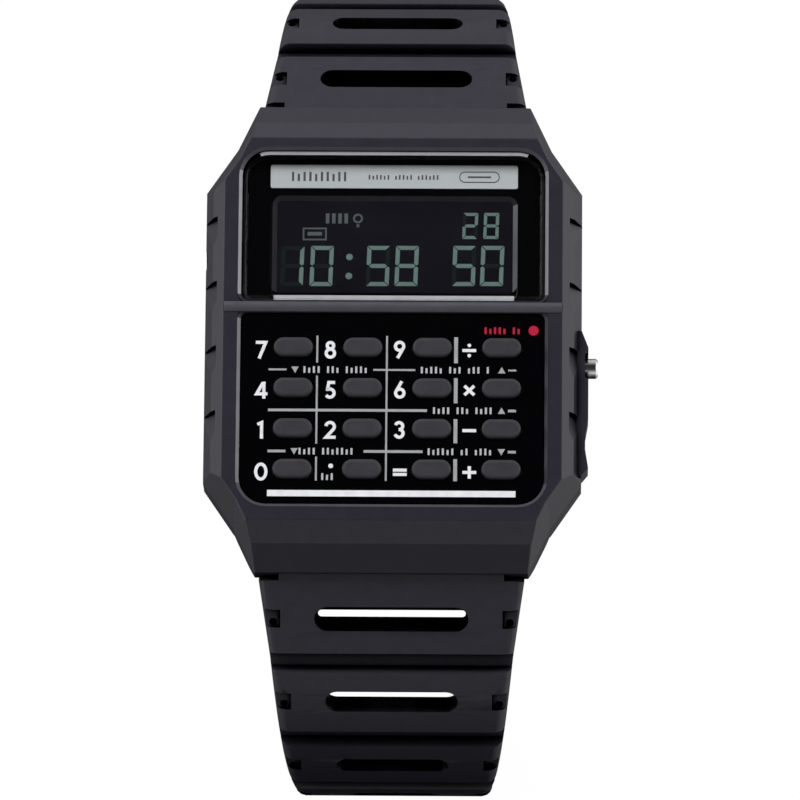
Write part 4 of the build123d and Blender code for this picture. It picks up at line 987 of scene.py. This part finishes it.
def strap_piece(name, side, length, segments, tang_holes, tip_round, end_barrel):
    """One strap half: band, grooves, slots, edge nicks with pin holes and bar bores, then bent."""
    wide = SHOULDER_WIDTH
    first, second, third = bmesh.new(), bmesh.new(), bmesh.new()
    low, high = GROOVE_WIDTH / 2 - GROOVE_FLARE / 2, GROOVE_WIDTH / 2 + GROOVE_FLARE / 2
    chamfer = GROOVE_CHAMFER[side]
    for n in range(1, segments):
        run = n * SEGMENT_PITCH + GROOVE_SHIFT[side]
        across(first, [(run - low, GROOVE_DEPTH), (run + low, GROOVE_DEPTH), (run + high, chamfer),
                       (run + high + chamfer, 0), (run + high + chamfer, -GROOVE_DEPTH),
                       (run - high, -GROOVE_DEPTH)], -wide, wide)
    across(first, circle(-HOOD_RUN, BARREL_RADIUS, BAR_BORE), -wide, wide)
    lug = circle(-HOOD_RUN, BARREL_RADIUS, LUG_CLEAR[side], 36)
    across(second, lug, TONGUE_HALF, wide)
    across(second, lug, -wide, -TONGUE_HALF)
    slots = list(zip(SLOT_LENGTHS, SLOT_WIDTHS, SLOT_SHIFTS, SLOT_INNER))
    slots += [(TANG_HOLE_LENGTH, TANG_HOLE_WIDTH, 0.0, (TANG_HOLE_WIDTH, 0.0))] * tang_holes
    for n, (slot, across_run, away, (narrow, shift)) in enumerate(slots):
        run = (n + 0.5) * SEGMENT_PITCH + away
        inner = stadium(0, run + shift, slot - (across_run - narrow) / 3, narrow)
        through(first, stadium(0, run, slot, across_run), 0.0, THICKNESS, inner)
        through(second, stadium(0, run, slot, across_run), -THICKNESS, CUT_OVERLAP)
        through(second, inner, THICKNESS - CUT_OVERLAP, 2 * THICKNESS)
        half = strap_half_width(run, length, tip_round)
        for hand in (-1, 1):
            inner = hand * (half - NICK_REACH)
            outer = hand * (half + NICK_REACH)
            ends = sorted((inner, outer))
            corners = [(ends[0], run - NICK_LENGTH / 2), (ends[1], run - NICK_LENGTH / 2),
                       (ends[1], run + NICK_LENGTH / 2), (ends[0], run + NICK_LENGTH / 2)]
            through(second, corners, -THICKNESS, NICK_DEPTH)
            pin = circle(hand * (half - PIN_INSET), run + PIN_SHIFT, PIN_RADIUS, 18)
            through(third, pin, -THICKNESS, PIN_DEPTH)
    if end_barrel:
        across(second, circle(length, TIP_THICKNESS / 2, BUCKLE_BORE), -wide, wide)
        slot = TANG_SLOT_HALF
        through(third, [(-slot, length - TANG_SLOT_LENGTH), (slot, length - TANG_SLOT_LENGTH),
                        (slot, length + THICKNESS), (-slot, length + THICKNESS)],
                -THICKNESS, 2 * THICKNESS)
    bm = cut_and_bevel(strap_base(length, tip_round, end_barrel), (first, second, third), STRAP_BEVEL)
    steps = ceil(BEND_LENGTH / BEND_STEP)
    for n in range(steps + 1):
        bmesh.ops.bisect_plane(bm, geom=bm.verts[:] + bm.edges[:] + bm.faces[:],
                               plane_co=(0, STRAIGHT + BEND_LENGTH * n / steps, 0), plane_no=(0, 1, 0))
    bmesh.ops.triangulate(bm, faces=[f for f in bm.faces if len(f.verts) > 4])
    for vert in bm.verts:
        y, z = strap_point(vert.co.y, -vert.co.z)
        vert.co = Vector((vert.co.x, side * y, z))
    bmesh.ops.recalc_face_normals(bm, faces=bm.faces)
    for face in bm.faces:
        face.smooth = True
    body = "strap_upper" if side > 0 else "strap_lower"
    item = add_piece(name, bm, "strap_resin", body)
    item.data.set_sharp_from_angle(angle=SHARP_ANGLE)
    weigh = item.modifiers.new("normals", "WEIGHTED_NORMAL")
    weigh.keep_sharp = True
    return item


tail = strap_piece("tail_strap", -1, TAIL_LENGTH, TAIL_SEGMENTS, TANG_HOLE_COUNT, TAIL_ROUND, 0)
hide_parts("strap_tail_half")
buckle_half = strap_piece("buckle_strap", 1, BUCKLE_LENGTH, BUCKLE_SEGMENTS, 0, 0, BUCKLE_BARREL)
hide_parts("strap_buckle_half")


def add_floor():
    """Plain pale floor that reads as white and keeps a soft shadow; in reflections only its glow
    shows, with painted shade that leaves it dark under and in front of the watch.
    """
    material, tree = node_material("floor_white")
    new, link = tree.nodes.new, tree.links.new
    out = new("ShaderNodeOutputMaterial")
    card = new("ShaderNodeBsdfDiffuse")
    card.inputs["Color"].default_value = FLOOR_COLOUR
    glow = new("ShaderNodeEmission")
    path = new("ShaderNodeLightPath")
    glossy = path.outputs["Is Glossy Ray"]
    seen = arithmetic(tree, "MAXIMUM", path.outputs["Is Camera Ray"],
                      path.outputs["Is Transmission Ray"])
    place = new("ShaderNodeTexCoord")
    split = new("ShaderNodeSeparateXYZ")
    link(place.outputs["Object"], split.inputs["Vector"])
    # Painted shade: in reflections the glow is none under and in front of the watch, and grows towards
    # the sides and the back
    reflected_glow_share = None
    for axis, reach in (("X", FLOOR_RIGHT_SHADE_FADE), ("X", FLOOR_LEFT_SHADE_FADE), ("Y", FLOOR_BACK_SHADE_FADE)):
        side = map_range(tree, split.outputs[axis], [edge * MM for edge in reach])
        reflected_glow_share = arithmetic(tree, "MAXIMUM", reflected_glow_share, side) if reflected_glow_share else side
    level = new("ShaderNodeMix")
    level.inputs[2].default_value = FLOOR_GLOW
    link(glossy, level.inputs[0])
    link(arithmetic(tree, "MULTIPLY", reflected_glow_share, FLOOR_GLOW), level.inputs[3])
    link(level.outputs[0], glow.inputs["Strength"])
    shown = arithmetic(tree, "MAXIMUM", arithmetic(tree, "MULTIPLY", seen, FLOOR_SEEN), glossy)
    link(mix_shaders(tree, shown, card.outputs["BSDF"], glow.outputs["Emission"]),
         out.inputs["Surface"])
    bm = bmesh.new()
    reach = FLOOR_HALF * MM
    corners = [bm.verts.new((x, y, FLOOR_Z * MM)) for x, y in
               ((-reach, -reach), (reach, -reach), (reach, reach), (-reach, reach))]
    bm.faces.new(corners)
    mesh = bpy.data.meshes.new("floor")
    bm.to_mesh(mesh)
    bm.free()
    mesh.materials.append(material)
    floor = bpy.data.objects.new("floor", mesh)
    bpy.context.scene.collection.objects.link(floor)


def add_world():
    """White background where it is seen, darker overhead in reflections, soft grey light elsewhere."""
    world = bpy.data.worlds.new("studio")
    bpy.context.scene.world = world
    world.use_nodes = True
    tree = world.node_tree
    tree.nodes.clear()
    new, link = tree.nodes.new, tree.links.new
    out = new("ShaderNodeOutputWorld")
    path = new("ShaderNodeLightPath")
    seen = arithmetic(tree, "MAXIMUM", path.outputs["Is Camera Ray"],
                      path.outputs["Is Transmission Ray"])
    place = new("ShaderNodeTexCoord")
    split = new("ShaderNodeSeparateXYZ")
    link(place.outputs["Generated"], split.inputs["Vector"])
    mirrors = []
    for stops in (BACK_SKY, FRONT_SKY):
        ramp = new("ShaderNodeValToRGB")
        for n, (height, level) in enumerate(stops):
            stop = ramp.color_ramp.elements[n] if n < 2 else ramp.color_ramp.elements.new(height)
            stop.position = height
            stop.color = (level, level, level, 1)
        link(split.outputs["Z"], ramp.inputs["Fac"])
        mirror = new("ShaderNodeBackground")
        link(ramp.outputs["Color"], mirror.inputs["Color"])
        mirrors.append(mirror)
    back, front = mirrors
    aside = arithmetic(tree, "ABSOLUTE", split.outputs["X"])
    link(map_range(tree, aside, SIDE_SHARES, (1.0, SIDE_SKY)), back.inputs["Strength"])
    behind = map_range(tree, split.outputs["Y"], BEHIND_SHARES)
    mirror = mix_shaders(tree, behind, front.outputs["Background"], back.outputs["Background"])
    soft = new("ShaderNodeBackground")
    soft.inputs["Color"].default_value = SOFT_COLOUR
    link(map_range(tree, split.outputs["Y"], SOFT_SHARES, SOFT_LEVELS), soft.inputs["Strength"])
    white = new("ShaderNodeBackground")
    white.inputs["Color"].default_value = (1, 1, 1, 1)
    unseen = mix_shaders(tree, path.outputs["Is Glossy Ray"], soft.outputs["Background"], mirror)
    link(mix_shaders(tree, seen, unseen, white.outputs["Background"]), out.inputs["Surface"])


def add_light(name, place, size, power):
    """Soft rectangular lamp aimed at the origin, places in millimetres."""
    lamp = bpy.data.lights.new(name, "AREA")
    lamp.shape = "RECTANGLE"
    lamp.size, lamp.size_y = size[0] * MM, size[1] * MM
    lamp.energy = power
    item = bpy.data.objects.new(name, lamp)
    item.location = Vector(place) * MM
    aim = (Vector() - Vector(place)).normalized()
    item.rotation_euler = aim.to_track_quat("-Z", "Y").to_euler()
    item.visible_glossy = False
    bpy.context.scene.collection.objects.link(item)


add_floor()
add_world()
for lamp in LAMPS:
    add_light(*lamp)
add_camera()
bpy.context.scene.view_settings.view_transform = "Standard"


def corners(box):
    """A box as plain lists of numbers."""
    return [[float(value) for value in corner] for corner in box]
